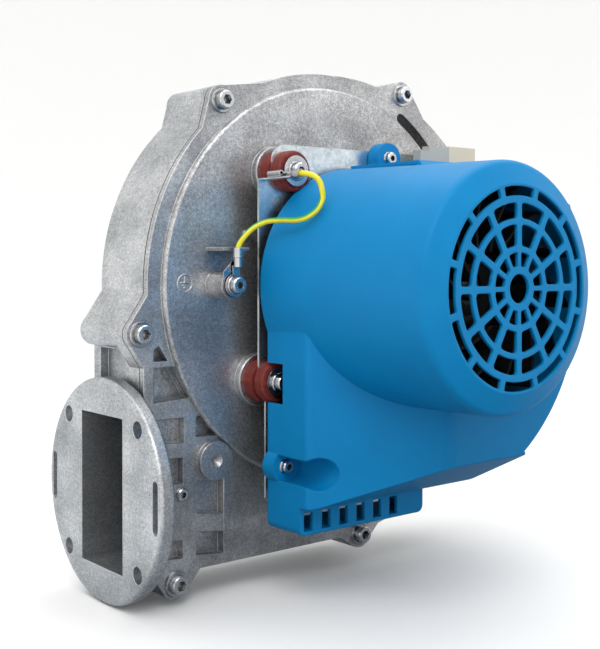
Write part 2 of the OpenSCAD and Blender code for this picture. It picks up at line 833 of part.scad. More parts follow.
module bearing_outer_races() {
  color("gainsboro") front() race_pair(bearing_r - 2.2, bearing_r, ball_r + fit_gap);
}

module bearing_inner_races() {
  color("gainsboro") front() race_pair(shaft_r, shaft_r + 2.2, ball_r);
}

module bearing_balls() {
  color("white") front() for (seat = [rear_seat, front_seat], i = [0:6]) {
    rotate(i * 360 / 7) translate([race_mid, 0, seat + bearing_w / 2]) sphere(ball_r, $fn = 32);
  }
}

// ---------------------------------------------------------------- motor mount

plate_left = box_left + 1.5;
plate_top = box_top + 10;
plate_right = box_r - 5;
plate_low = box_low + 9;
plate_round = 9;
// Blade for the earth lead: its height, and its width at the root and where the receptacle sits
blade_low = 57;
blade_w1 = 9.1;
blade_w2 = 6.3;
blade_thick = 0.8;
blade_mid = -plate_left + blade_w1 / 2;

module plate_outline_2d() {
  step = blade_w1 - plate_left;
  slim = -box_left + cover_wall + 0.6;
  difference() {
    polygon(concat([[-plate_left, blade_low], [step, blade_low]],
      arc_points([step + plate_round, plate_top - plate_round], plate_round, 180, 90),
      [[plate_right, plate_top], [plate_right, -50], [box_foot - 2, -plate_low + 14],
      [box_foot - 12, -plate_low], [-box_left + 10, -plate_low], [slim, -plate_low + 8],
      [slim, -60], [-plate_left, -51]]));
    circle(mount_hole_r);
    for (a = bush_angles) translate(polar(bush_pcr, a)) circle(bush_waist + 0.3);
    for (spot = tube_spots) translate(spot) circle(tube_screw_r);
    for (spot = lug_spots) translate(spot) circle(cover_screw_r);
    for (spot = tray_spots) translate(spot) circle(1.5);
    // Openings that let cooling air reach the motor
    for (a = [70, 180, 300]) rotate(a) arc_band(34, 44, -16, 16);
  }
}

module motor_plate() {
  color("lightsteelblue") front() {
    slab(plate_rear, plate_face) plate_outline_2d();
    // Bent-out blade for the earth lead
    translate([-plate_left, blade_low, plate_rear]) cube([blade_w1, blade_thick, 5]);
    translate([blade_mid - blade_w2 / 2, blade_low, plate_rear]) cube([blade_w2, blade_thick, 26]);
  }
}

// Rubber bush in its waist the motor plate, its tail on the boss
module rubber_bush(a) {
  p = polar(bush_pcr, a);
  color("firebrick") front() translate([p[0], p[1], 0]) rotate_extrude() difference() {
    union() {
      translate([0, boss_face]) square([bush_tail_r, plate_rear - boss_face]);
      translate([0, boss_face]) square([bush_waist, bush_face - boss_face]);
      translate([0, plate_face]) square([bush_r, bush_front - 1.5]);
      translate([0, plate_face]) square([bush_r - 1.5, bush_front]);
      translate([bush_r - 1.5, bush_face - 1.5]) circle(1.5);
    }
    translate([0, boss_face - over]) square([sleeve_r, bush_face - boss_face + 2 * over]);
  }
}

module upper_bush() { rubber_bush(bush_angles[0]); }

module lower_bush() { rubber_bush(bush_angles[1]); }

module right_bush() { rubber_bush(bush_angles[2]); }

module bush_sleeves() {
  color("gainsboro") front() for (a = bush_angles) {
    ring(polar(bush_pcr, a), sleeve_r, sleeve_bore, boss_face, bush_face + 0.4);
  }
}

module bush_washers() {
  color("gainsboro") front() for (a = bush_angles) {
    ring(polar(bush_pcr, a), washer_r, sleeve_bore, bush_face + 0.4, bush_face + 0.4 + washer_t);
  }
}

module bush_screws() {
  seat = bush_face + 0.4 + washer_t;
  color("gainsboro") front() for (a = bush_angles) {
    p = polar(bush_pcr, a);
    translate([p[0], p[1], seat]) {
      flange_screw(bush_screw_r, 4.4, 3.6, 5.6, 0.7, seat - cover_back - 4, 2.3);
    }
  }
}

// ---------------------------------------------------------------- motor

module tooth_2d() {
  translate([yoke_r - 1, -2.8]) square([stator_r - yoke_r - 1.5, 5.6]);
}

module stator_core() {
  shoe = 360 / teeth * 0.4;
  color("slategray") front() slab(stator_back, stator_back + stator_len) difference() {
    union() {
      circle(yoke_r);
      for (i = [0:teeth - 1]) rotate(i * 360 / teeth) {
        tooth_2d();
        arc_band(stator_r - 3, stator_r, -shoe, shoe);
      }
    }
    circle(tube_r);
  }
}

module stator_windings() {
  coil_in = yoke_r + 0.4;
  coil_out = stator_r - 3.4;
  half = 180 / teeth;
  overhang = 4;
  color("peru") front() for (i = [0:teeth - 1]) rotate(i * 360 / teeth) {
    difference() {
      slab(stator_back - overhang, stator_back + stator_len + overhang) intersection() {
        difference() {
          circle(coil_out);
          circle(coil_in);
        }
        polygon([[2.5, 0], polar(stator_r * 1.2, half * 0.86), polar(stator_r * 1.2, -half * 0.86)]);
      }
      slab(stator_back - tiny, stator_back + stator_len + tiny) {
        translate([0, -2.8]) square([stator_r, 5.6]);
      }
    }
  }
}

module rotor_bell() {
  color("gray") front() difference() {
    union() {
      ring([0, 0], rotor_r, rotor_r - rotor_t, bell_back, bell_end + tiny);
      bar([0, 0], rotor_r, bell_end, fan_back);
      bar([0, 0], 9, bell_end, fan_back + 8);
    }
    bar([0, 0], shaft_r, bell_end - over, fan_back + 9, $fn = 64);
    for (i = [0:5]) rotate(i * 60) bar([27, 0], 6, bell_end - over, fan_back + over);
  }
}

module rotor_magnets() {
  half = 180 / magnets - 1.2;
  outer = rotor_r - rotor_t;
  color("darkslategray") front() for (i = [0:magnets - 1]) rotate(i * 360 / magnets) {
    slab(stator_back - 1, stator_back + stator_len + 1) arc_band(outer - magnet_t, outer, -half, half);
  }
}

module cooling_fan() {
  color("darkslategray") front() difference() {
    union() {
      ring([0, 0], fan_r - 4, 9 + slip_gap / 2, fan_back, fan_back + 2);
      ring([0, 0], 20, 9 + slip_gap / 2, fan_back, fan_back + 10);
      slab(fan_back, fan_back + fan_len) for (i = [0:fan_blades - 1]) {
        rotate(i * 360 / fan_blades) blade_2d(19.5, fan_r, 38, 1.6, 1.1);
      }
    }
    for (i = [0:5]) rotate(i * 60) bar([27, 0], 4, fan_back - over, fan_back + 3);
  }
}

// ---------------------------------------------------------------- electronics

tray_back = plate_face + 2.5;
tray_front = base_face + 3;
tray_floor = 2.5;
board_back = base_face + 6;
board_t = 1.6;
board_face = board_back + board_t;
tray_spots = [[-box_left + 30, -box_low + 9], [box_foot - 12, -box_low + 11], polar(box_r - 7, -22.6),
  lug_spots[2] + [8, -14], [-box_left + 20, -box_low + 41]];
// Lower edge of the box's right part, and height of the part below the round
box_shelf = -box_low + 21;
foot_h = 22;

// Outline of the box's inside, drawn in by a margin
module box_outline_2d(in) {
  difference() {
    intersection() {
      union() {
        translate([-box_left + in, -box_low + in]) {
          square([box_left + box_foot - 2 * in, box_low - 62]);
        }
        translate([20, box_shelf + in]) square([box_r, box_top - box_shelf - 2 * in]);
      }
      union() {
        circle(box_r - in, $fn = 120);
        translate([-box_left + in, -box_low]) square([box_left + box_foot - 2 * in, foot_h]);
      }
    }
    circle(rotor_r + 5);
  }
}

module tray_holes_2d() {
  for (a = bush_angles) translate(polar(bush_pcr, a)) circle(bush_r + 1.2);
}

module electronics_tray() {
  in = cover_wall + slip_gap;
  color("dimgray") front() difference() {
    union() {
      slab(tray_back, tray_back + tray_floor) box_outline_2d(in);
      slab(tray_back, tray_front) difference() {
        box_outline_2d(in);
        box_outline_2d(in + 2);
      }
      for (spot = tray_spots) bar(spot, 4, plate_face, board_back, $fn = 32);
    }
    slab(plate_face - over, tray_front + over) tray_holes_2d();
    for (i = [1, 2]) bar(lug_spots[i], 6.5, plate_face - over, board_back);
    bar(lug_spots[0], cover_lug_r + slip_gap, plate_face - over, board_back);
    // Room for the two connectors
    translate([connector_x - slip_gap, connector_low - slip_gap, tray_back + tray_floor]) {
      cube([connector_w[0] + connector_w[1] + 2 * slip_gap, far, far]);
    }
    for (spot = tray_spots) bar(spot, 1.2, plate_face - over, board_back + over, $fn = 32);
  }
}

module cover_pillars() {
  color("gainsboro") front() for (i = [1, 2]) difference() {
    translate([lug_spots[i][0], lug_spots[i][1], plate_face]) {
      cylinder(r = 5, h = lug_seats[i] - lug_floor - plate_face, $fn = 6);
    }
    bar(lug_spots[i], cover_screw_r, lug_seats[i] - 12, lug_seats[i], $fn = 32);
  }
}

module board_2d() {
  in = cover_wall + slip_gap + 1.2;
  difference() {
    box_outline_2d(in);
    circle(rotor_r + 7);
    for (a = bush_angles) translate(polar(bush_pcr, a)) circle(bush_r + 3);
    for (i = [1, 2]) translate(lug_spots[i]) circle(well_r + cover_wall + 0.6);
    for (spot = tray_spots) translate(spot) circle(1.5);
  }
}

module control_board() {
  color("darkgreen") front() slab(board_back, board_face) board_2d();
}

module board_screws() {
  color("gainsboro") front() for (spot = tray_spots) translate([spot[0], spot[1], board_face]) {
    flange_screw(1.2, 2.3, 1.4, 2.8, 0.3, 7, 1.1);
  }
}

module smoothing_capacitors() {
  color("midnightblue") front() for (x = [-22, 0, 22]) {
    round_front_bar([x, -box_low + 31], 8, board_face, board_face + 24);
  }
}

// A can whose front edge is rounded
module round_front_bar(at, r, from, to) {
  translate([at[0], at[1], 0]) round_front_disc(r, 1.2, from, to, $fn = 48);
}

module line_choke() {
  color("peru") front() ring(polar(box_r - 17.6, 9.87), 11, 5, board_face, board_face + 12);
}

sink_at = [box_r - 75, -box_low + 41];

module heat_sink() {
  color("silver") front() translate([sink_at[0], sink_at[1], board_face]) {
    cube([32, 2.5, 22]);
    for (i = [0:5]) translate([i * 5.9, tiny, 0]) cube([2, 12, 22]);
  }
}

module power_switches() {
  depth = 4.6;
  color("black") front() for (x = [3, 18]) {
    translate([sink_at[0] + x, sink_at[1] - depth, board_face + 1]) cube([10, depth, 15]);
  }
}

connector_x = box_r - 60.5;
connector_w = [24.5, 23.7];
connector_low = box_top - 14;
connector_top = [box_top + 12, box_top + 14.7, box_top + 15.5];

// Header on the back of the board that stands out at the top of the cover
module header(x, w, top, ways) {
  back = tray_back + tray_floor + slip_gap;
  depth = board_back - back;
  wall = 1.3;
  way_w = (w - wall) / ways - wall;
  difference() {
    translate([x, connector_low, back]) cube([w, top - connector_low, depth]);
    for (i = [0:ways - 1]) {
      translate([x + wall + i * (way_w + wall), top - 8, back + wall]) {
        cube([way_w, 9, depth - 2 * wall]);
      }
    }
  }
}

module power_connector() {
  color("tan") front() {
    header(connector_x, 7.5 + tiny, connector_top[0], 1);
    header(connector_x + 7.5, connector_w[0] - 7.5, connector_top[1], 2);
  }
}

module signal_connector() {
  color("beige") front() header(connector_x + connector_w[0], connector_w[1], connector_top[2], 4);
}

// ---------------------------------------------------------------- motor cover

// Round part of the cover; the margin moves every wall inwards
module cap(in) {
  fall = atan2(grille_rise, cap_front_r - grille_r);
  rise = grille_face - base_face;
  low = in > 0 ? -over : 0;
  top = rise - (in > 0 ? grille_t : 0);
  edge = max(cap_round - in, 1);
  edge_r = cap_front_r - in - edge;
  shoulder = rise - in / cos(fall);
  edge_h = shoulder - (edge_r + edge * sin(fall) - grille_r) * tan(fall) - edge * cos(fall);
  translate([0, 0, base_face]) rotate_extrude($fn = 180) {
    polygon(concat([[0, low], [cap_base_r - in, low]],
      arc_points([edge_r, edge_h], edge, 0, 90 - fall),
      [[grille_r, shoulder], [grille_r - over, top], [0, top]]));
  }
}

// Box of the cover seen from the front
module cover_box_2d(in) {
  intersection() {
    union() {
      translate([-box_left + in, -box_low + in]) square([box_left + box_foot - 2 * in, box_low - in]);
      translate([0, box_shelf + in]) square([box_r + over, box_top - box_shelf - 2 * in]);
    }
    union() {
      circle(box_r - in, $fn = 180);
      translate([-box_left + in, -box_low]) square([box_left + box_foot - 2 * in, foot_h]);
    }
  }
}

// Box of the cover seen from above: a sloping front that runs into a flat one
module cover_top_view_2d(in) {
  slope = 0.675;
  stretch = sqrt(1 + slope * slope);
  round = max(box_round - in, 1);
  base = base_face - (in > 0 ? over : 0);
  left = -box_left + in;
  flat_x = (box_face - box_edge + 2) / slope - box_left;
  edge_mid = [left + round, box_edge - 2.6 + slope * (in + round) - (in + round) * stretch];
  polygon(concat([[left, base]], arc_points(edge_mid, round, 180, 90 + atan(slope)),
    [[flat_x - 4, box_face - in - 2.6], [flat_x, box_face - in - 0.6], [flat_x + 4, box_face - in],
    [box_r + over, box_face - in], [box_r + over, base]]));
}

// Box of the cover seen from the side: the lower front slopes back to the box's edge
module cover_side_view_2d(in) {
  base = base_face - (in > 0 ? over : 0);
  polygon([[-box_low + in, base], [-box_low + in, box_edge - in - 1], [-box_low + in + 0.8, box_edge - in + 1],
    [-box_low + 19.8, box_face - 1.2 - in], [-box_low + 22, box_face + 2 - in], [-box_low + 25, box_face + 10],
    [30, box_face + 10], [box_top - 24 - in, box_face + 2 - in], [box_top - in, box_face - 22 - in],
    [box_top - in, base]]);
}

module cover_box(in) {
  intersection() {
    slab(base_face - over, box_face + 1) cover_box_2d(in);
    translate([0, far / 2, 0]) rotate([90, 0, 0]) linear_extrude(far) cover_top_view_2d(in);
    translate([-far / 2, 0, 0]) rotate([90, 0, 90]) linear_extrude(far) cover_side_view_2d(in);
  }
}

// Rail with the lower vents
module rail(in) {
  left = -box_left + in;
  right = rail_right - in;
  low = -rail_low + in;
  edge = max(4 - in, 1);
  slab(base_face - (in > 0 ? over : 0), rail_face - in) {
    polygon(concat([[left, -box_low + 4]], arc_points([left + edge, low + edge], edge, 180, 270),
      arc_points([right - edge, low + edge], edge, 270, 360), [[right, -box_low + 4]]));
  }
}

module rail_vents_cut() {
  pitch = 12.3;
  vent = [6, 9.7];
  for (i = [0:rail_vents - 1]) {
    translate([-box_left + 3.2 + i * pitch, -rail_low + 2.1, rail_face - cover_wall - over]) {
      cube([vent[0], vent[1], cover_wall + 2 * over]);
    }
  }
}

// Half of a window's outline: side of a spoke, with both corners and half of each arc
function window_side(r_in, r_out, w, c, half) =
  let (in_a = asin((w / 2 + c) / (r_in + c)), out_a = asin((w / 2 + c) / (r_out - c)))
  concat([for (k = [1:3]) polar(r_in, half - (half - in_a) * k / 4)],
    arc_points(polar(r_in + c, in_a), c, 180 + in_a, 270, 3),
    arc_points(polar(r_out - c, out_a), c, -90, out_a, 3),
    [for (k = [1:3]) polar(r_out, out_a + (half - out_a) * k / 4)]);

// Mirror image of a point about a line through the shaft
function flipped(p, a) = [p[0] * cos(2 * a) + p[1] * sin(2 * a), p[0] * sin(2 * a) - p[1] * cos(2 * a)];

// One row of windows between the spokes
module window_row_2d(r_in, r_out, w, c, turn) {
  half = 180 / spokes;
  side = window_side(r_in, r_out, w, c, half);
  for (i = [0:spokes - 1]) rotate(turn + i * 2 * half) {
    polygon(concat(side, [for (k = [len(side) - 1:-1:0]) flipped(side[k], half)]));
  }
}

module grille_cuts_2d() {
  circle(centre_hole_r);
  window_row_2d(grille_rows[0][0], grille_rows[0][1], spoke_w * 0.7, window_round / 2, 90);
  for (i = [1, 2]) window_row_2d(grille_rows[i][0], grille_rows[i][1], spoke_w, window_round, 90);
  window_row_2d(outer_row[0], outer_row[1], spoke_w, window_round / 2, 90 + 180 / spokes);
}

module motor_cover() {
  color("dodgerblue") front() difference() {
    union() {
      cap(0);
      cover_box(0);
      rail(0);
      // Screw lug over the top, down to the motor plate
      slab(plate_face + slip_gap, lug_seats[0]) {
        translate(lug_spots[0]) circle(cover_lug_r);
        translate([lug_spots[0][0] - cover_lug_r + 0.3, box_top - cover_wall]) {
          square([2 * cover_lug_r - 0.6, lug_spots[0][1] - box_top + cover_wall]);
        }
      }
      bar(lug_spots[1], cover_lug_r, base_face, lug_seats[1]);
    }
    difference() {
      union() {
        cap(cover_wall);
        cover_box(cover_wall);
        rail(cover_wall);
      }
      for (i = [1, 2]) bar(lug_spots[i], well_r + cover_wall, lug_seats[i] - lug_floor, box_face + over);
    }
    for (i = [1, 2]) bar(lug_spots[i], well_r, lug_seats[i], grille_face);
    for (i = [0:2]) bar(lug_spots[i], cover_screw_r + 0.3, plate_face, lug_seats[i] + over, $fn = 32);
    bar(lug_spots[1], 5.2, base_face - over, lug_seats[1] - lug_floor);
    // Room for the bushes and what holds them
    for (a = bush_angles) {
      bar(polar(bush_pcr, a), bush_r + slip_gap, base_face - over, bush_face + slip_gap);
      bar(polar(bush_pcr, a), washer_r + slip_gap, base_face - over, bush_face + 7);
    }
    // Notch that leaves the lower bush free
    translate([-box_left - 10, polar(bush_pcr, bush_angles[1])[1] - 10.4, base_face - over]) {
      cube([21, 21.5, 13 + over]);
    }
    // Notch for the connectors
    translate([connector_x - slip_gap, connector_low - 3, base_face - over]) {
      cube([connector_w[0] + connector_w[1] + 2 * slip_gap, 22, board_back + slip_gap - base_face + over]);
    }
    rail_vents_cut();
    slab(grille_face - 8, grille_face + over) grille_cuts_2d();
  }
}

module cover_lug_screws() {
  color("gainsboro") front() for (i = [0:2]) translate([lug_spots[i][0], lug_spots[i][1], lug_seats[i]]) {
    flange_screw(cover_screw_r, 3.6, 2.2, 4.4, 0.8, 11, 1.8);
  }
}

// ---------------------------------------------------------------- earth lead

// Swept tube through the route's points
function along(p, i) = i == 0 ? p[1] - p[0] : i == len(p) - 1 ? p[i] - p[i - 1] : p[i + 1] - p[i - 1];
function smooth(p) = [for (i = [0:len(p) - 2], k = [0, 1])
  let (a = p[max(i - 1, 0)], b = p[i], c = p[i + 1], d = p[min(i + 2, len(p) - 1)])
  k == 0 ? b : (9 * (b + c) - a - d) / 16];

module sweep_tube(points, r, sides) {
  path = concat(smooth(points), [points[len(points) - 1]]);
  n = len(path);
  rings = [for (i = [0:n - 1])
    let (t = along(path, i) / norm(along(path, i)), flat = cross([0.3, 0.5, 0.81], t),
      u = flat / norm(flat), v = cross(t, u))
    for (k = [0:sides - 1]) path[i] + r * (cos(k * 360 / sides) * u + sin(k * 360 / sides) * v)];
  walls = [for (i = [0:n - 2], k = [0:sides - 1])
    let (j = (k + 1) % sides, a = i * sides, b = a + sides)
    each [[a + k, a + j, b + j], [a + k, b + j, b + k]]];
  caps = [[for (k = [sides - 1:-1:0]) k], [for (k = [0:sides - 1]) (n - 1) * sides + k]];
  polyhedron(rings, concat(walls, caps), convexity = 4);
}

module earth_lead() {
  color("gold") front() translate([0, 0, dish_face]) sweep_tube(lead_route, lead_d / 2, 8);
}

// Receptacle on the plate's blade: rolled edges, then a strip with the crimps
module spade_receptacle() {
  base_t = 0.75;
  roll_r = 1.45;
  roll_gap = 3.1;
  roll_len = 10.7;
  low = blade_low + blade_thick + fit_gap;
  roll_h = base_t + roll_r - 0.25;
  crimp_at = [0.4, 1.05, roll_len + 8.6];
  color("gainsboro") front() translate([blade_mid, low, bush_face + slip_gap]) difference() {
    union() {
      translate([-roll_gap - 1, 0, 0]) cube([2 * roll_gap + 2, base_t, roll_len]);
      for (side = [-1, 1]) translate([side * roll_gap, roll_h, 0]) {
        cylinder(r = roll_r, h = roll_len, $fn = 32);
      }
      translate([-1.5, 0, roll_len - 0.5]) cube([3, base_t, 9]);
      translate([0, 1.4, roll_len + 2]) cylinder(r = 1.4 + tiny, h = 4.5, $fn = 32);
      translate(crimp_at - [0, 0, 1]) cylinder(r = 2.4, h = 4.4, $fn = 32);
    }
    for (side = [-1, 1]) translate([side * roll_gap, roll_h, -over]) {
      cylinder(r = 0.85, h = roll_len + 2 * over, $fn = 24);
    }
    translate(crimp_at) cylinder(r = lead_d / 2 + 0.3, h = 6, $fn = 32);
  }
}

earth_seat = dish_face + earth_h;
earth_tab_t = 0.8;
lock_t = 0.6;
terminal_t = 0.9;

// Plate under the terminal, with a wing that stops it from turning
module earth_tab_plate() {
  color("gainsboro") front() slab(earth_seat, earth_seat + earth_tab_t) translate(earth_at) difference() {
    union() {
      circle(ring_r + 0.4);
      polygon([[-0.9, 13.3], [-6.7, 7], [-6.2, 1.8], [0, 0], [3.8, 5.6]]);
    }
    circle(2.6);
  }
}

module earth_ring_terminal() {
  plate = earth_seat + earth_tab_t + lock_t;
  crimp_at = [earth_at[0] + 0.55, earth_at[1] + 9.6, dish_face + 18.75];
  color("gainsboro") front() difference() {
    union() {
      bar(earth_at, ring_r, plate, plate + terminal_t, $fn = 48);
      translate([earth_at[0] - 1.7, earth_at[1] + 4, plate]) cube([4.4, 6.5, terminal_t]);
      translate(crimp_at) rotate([-90, 0, 0]) cylinder(r = 2.2, h = 5.2, $fn = 32);
      translate(crimp_at + [0, 5, 0]) rotate([-90, 0, 0]) cylinder(r = 2.6, h = 5, $fn = 32);
    }
    bar(earth_at, 2.6, plate - over, plate + 2);
    translate(crimp_at + [0, 6, 0]) rotate([-90, 0, 0]) cylinder(r = lead_d / 2 + 0.4, h = 5, $fn = 32);
  }
}

module earth_lock_washer() {
  seat = earth_seat + earth_tab_t;
  color("gainsboro") front() ring(earth_at, 4.6, 2.6, seat, seat + lock_t);
}

module earth_screw() {
  seat = earth_seat + earth_tab_t + lock_t + terminal_t;
  color("gainsboro") front() translate([earth_at[0], earth_at[1], seat]) {
    flange_screw(2.5, 4.3, 3.8, 5.2, 0.6, 12, 2.1);
  }
}

scroll_housing();
front_plate();
housing_gasket();
cover_screws();
duct_plug_screw();
intake_nozzle();
nozzle_screws();
impeller_wheel();
impeller_shroud();
impeller_hub();
impeller_nut();
motor_shaft();
shaft_seal();
bearing_tube();
tube_screws();
bearing_outer_races();
bearing_inner_races();
bearing_balls();
motor_plate();
upper_bush();
lower_bush();
right_bush();
bush_sleeves();
bush_washers();
bush_screws();
stator_core();
stator_windings();
rotor_bell();
rotor_magnets();
cooling_fan();
electronics_tray();
cover_pillars();
control_board();
board_screws();
smoothing_capacitors();
line_choke();
heat_sink();
power_switches();
power_connector();
signal_connector();
motor_cover();
cover_lug_screws();
earth_lead();
spade_receptacle();
earth_tab_plate();
earth_ring_terminal();
earth_lock_washer();
earth_screw();
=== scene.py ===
"""Finishes, earth lead, cast marks and studio for a burner's direct-current blower.

The file is laid out as a Blender add-on and run as a script. All lengths are in metres in the
part's own frame: +Z is up, the motor points along -Y and the outlet faces -X.
"""

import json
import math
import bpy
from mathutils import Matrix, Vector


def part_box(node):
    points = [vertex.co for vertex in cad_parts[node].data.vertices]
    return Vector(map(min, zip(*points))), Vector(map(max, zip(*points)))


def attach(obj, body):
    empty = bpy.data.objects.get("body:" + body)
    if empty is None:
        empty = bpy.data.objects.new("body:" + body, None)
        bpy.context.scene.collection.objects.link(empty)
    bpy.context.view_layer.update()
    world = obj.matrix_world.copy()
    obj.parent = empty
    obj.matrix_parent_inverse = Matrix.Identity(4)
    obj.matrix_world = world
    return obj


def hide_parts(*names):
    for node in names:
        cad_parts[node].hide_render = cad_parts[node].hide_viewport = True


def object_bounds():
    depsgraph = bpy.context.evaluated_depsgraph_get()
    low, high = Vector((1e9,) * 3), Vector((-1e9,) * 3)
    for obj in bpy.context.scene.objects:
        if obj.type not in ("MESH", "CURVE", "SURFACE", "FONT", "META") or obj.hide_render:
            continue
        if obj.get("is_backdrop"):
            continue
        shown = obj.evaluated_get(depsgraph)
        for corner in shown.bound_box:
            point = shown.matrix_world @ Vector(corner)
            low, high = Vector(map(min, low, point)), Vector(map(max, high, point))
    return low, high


bl_info = {
    "name": "Burner blower finishes",
    "version": (1, 0, 0),
    "blender": (4, 5, 0),
    "location": "View3D > Sidebar > Blower",
    "description": "Dresses the blower's CAD frame with materials, an earth lead and a studio",
    "category": "Object",
}

import bpy
import numpy as np

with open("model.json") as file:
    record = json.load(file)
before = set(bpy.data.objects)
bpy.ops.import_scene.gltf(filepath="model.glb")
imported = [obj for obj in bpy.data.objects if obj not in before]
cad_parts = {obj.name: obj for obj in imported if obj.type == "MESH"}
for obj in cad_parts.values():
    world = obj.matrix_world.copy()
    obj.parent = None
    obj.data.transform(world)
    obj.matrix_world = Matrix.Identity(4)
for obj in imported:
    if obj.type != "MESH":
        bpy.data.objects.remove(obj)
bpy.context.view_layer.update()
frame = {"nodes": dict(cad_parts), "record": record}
NODES = frame["nodes"]
# Material slot of every CAD node
SLOTS = {row["node"]: row.get("material_slot", row["node"]) for row in frame["record"]["subparts"]}

MM = 0.001
STAND = "stand"

# Faces that look along -Y
PLATE_RIM_FACE = -58.5 * MM  # front plate, round its raised middle
DISH_FACE = -61.0 * MM  # front plate, on its raised middle
SHEET_FACE = -74.5 * MM  # steel motor plate
# How far the foot of a raised mark lies inside its face
MARK_SINK = 0.05 * MM


# ---------------------------------------------------------------- small helpers


def linear(colour):
    """An sRGB hex colour as linear red, green, blue and alpha; a property's colour is linear."""
    if not isinstance(colour, str):
        return (*colour, 1.0)
    parts = [int(colour[i : i + 2], 16) / 255 for i in (1, 3, 5)]
    return (*(c / 12.92 if c <= 0.04045 else ((c + 0.055) / 1.055) ** 2.4 for c in parts), 1.0)


def fill_inputs(tree, node, inputs):
    """Sets a node's inputs: a socket is linked, a node is linked by its first output, and
    anything else is the input's own value."""
    for name, value in inputs.items():
        if isinstance(value, bpy.types.Node):
            value = value.outputs[0]
        if isinstance(value, bpy.types.NodeSocket):
            tree.links.new(value, node.inputs[name])
        else:
            node.inputs[name].default_value = value


def add_node(tree, kind, inputs=None, stops=(), **settings):
    """Adds a shader node with its settings and inputs. Stops are the (position, hex colour)
    pairs of a colour ramp."""
    node = tree.nodes.new("ShaderNode" + kind)
    for name, value in settings.items():
        setattr(node, name, value)
    if stops:
        points = node.color_ramp.elements
        while len(points) < len(stops):
            points.new(0.5)
        for point, (position, colour) in zip(points, stops):
            point.position = position
            point.color = linear(colour)
    fill_inputs(tree, node, inputs or {})
    return node


def start_material(name, colour, metallic, roughness, extra=None):
    """A material whose Principled shader has plain values. Returns it with its node tree, its
    shader and the outputs of its texture coordinates."""
    material = bpy.data.materials.new(name)
    material.use_nodes = True
    tree = material.node_tree
    shader = tree.nodes["Principled BSDF"]
    plain = {"Base Color": linear(colour), "Metallic": metallic, "Roughness": roughness}
    fill_inputs(tree, shader, {**plain, **(extra or {})})
    return material, tree, shader, add_node(tree, "TexCoord").outputs


def slot_material(slot):
    """The material that the finishing step gave to the CAD nodes of a slot."""
    node = next(name for name, own in SLOTS.items() if own == slot)
    return NODES[node].material_slots[0].material


def new_object(name, points, faces, material, smooth=True, uv=None):
    """Puts a worked-out surface into the scene. A UV, where there is one, has a row for every
    corner of every face."""
    mesh = bpy.data.meshes.new(name)
    mesh.from_pydata(points.reshape(-1, 3).tolist(), [], faces)
    mesh.materials.append(material)
    mesh.polygons.foreach_set("use_smooth", [smooth] * len(mesh.polygons))
    if uv is not None:
        mesh.uv_layers.new(name="UVMap").data.foreach_set("uv", uv.ravel())
    mesh.update()
    made = bpy.data.objects.new(name, mesh)
    bpy.context.scene.collection.objects.link(made)
    return made


def add_piece(name, points, faces, slot, smooth=True, uv=None):
    """A new piece of the blower, with the finish of a material slot, that rides on the stand."""
    piece = new_object(name, points, faces, slot_material(slot), smooth, uv)
    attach(piece, STAND)
    return piece


def grid_faces(rows, columns, loop=True):
    """Quads between neighbouring rows of a grid; loop joins the last column to the first."""
    r = np.arange(rows - 1)[:, None]
    c = np.arange(columns if loop else columns - 1)[None, :]
    d = (c + 1) % columns
    corners = [r * columns + c, r * columns + d, (r + 1) * columns + d, (r + 1) * columns + c]
    return np.stack(corners, axis=-1).reshape(-1, 4)


def full_turn(sides):
    """Evenly spaced angles once round, without the last one."""
    return np.linspace(0, 2 * np.pi, sides, endpoint=False)


# ---------------------------------------------------------------- materials

# Nearly all of a noise pattern lies between these values
NOISE_RANGE = {"From Min": 0.3, "From Max": 0.7}
# Rays that an edge's rounding and a recess's shade take
RAYS = 4


def blend_values(tree, parts):
    """The sum of every value times its share."""
    total = 0.0
    for value, share in parts:
        total = add_node(tree, "Math", {0: value, 1: share, 2: total}, operation="MULTIPLY_ADD")
    return total


# Mask for a painted highlight along edges, convex and hollow alike; on convex edges it also stands for
# rubbed wear.
def edge_highlight_and_wear(tree, rounded):
    """Where the rounded and the true normals part, which is near an edge: 0 on flats, 1 at sharp
    edges. Their dot product is mapped from 0.98 to 0.8."""
    sharp = add_node(tree, "NewGeometry").outputs["Normal"]
    match = add_node(tree, "VectorMath", {0: rounded, 1: sharp}, operation="DOT_PRODUCT")
    near = {"Value": match.outputs["Value"], "From Min": 0.98, "From Max": 0.8}
    return add_node(tree, "MapRange", near)


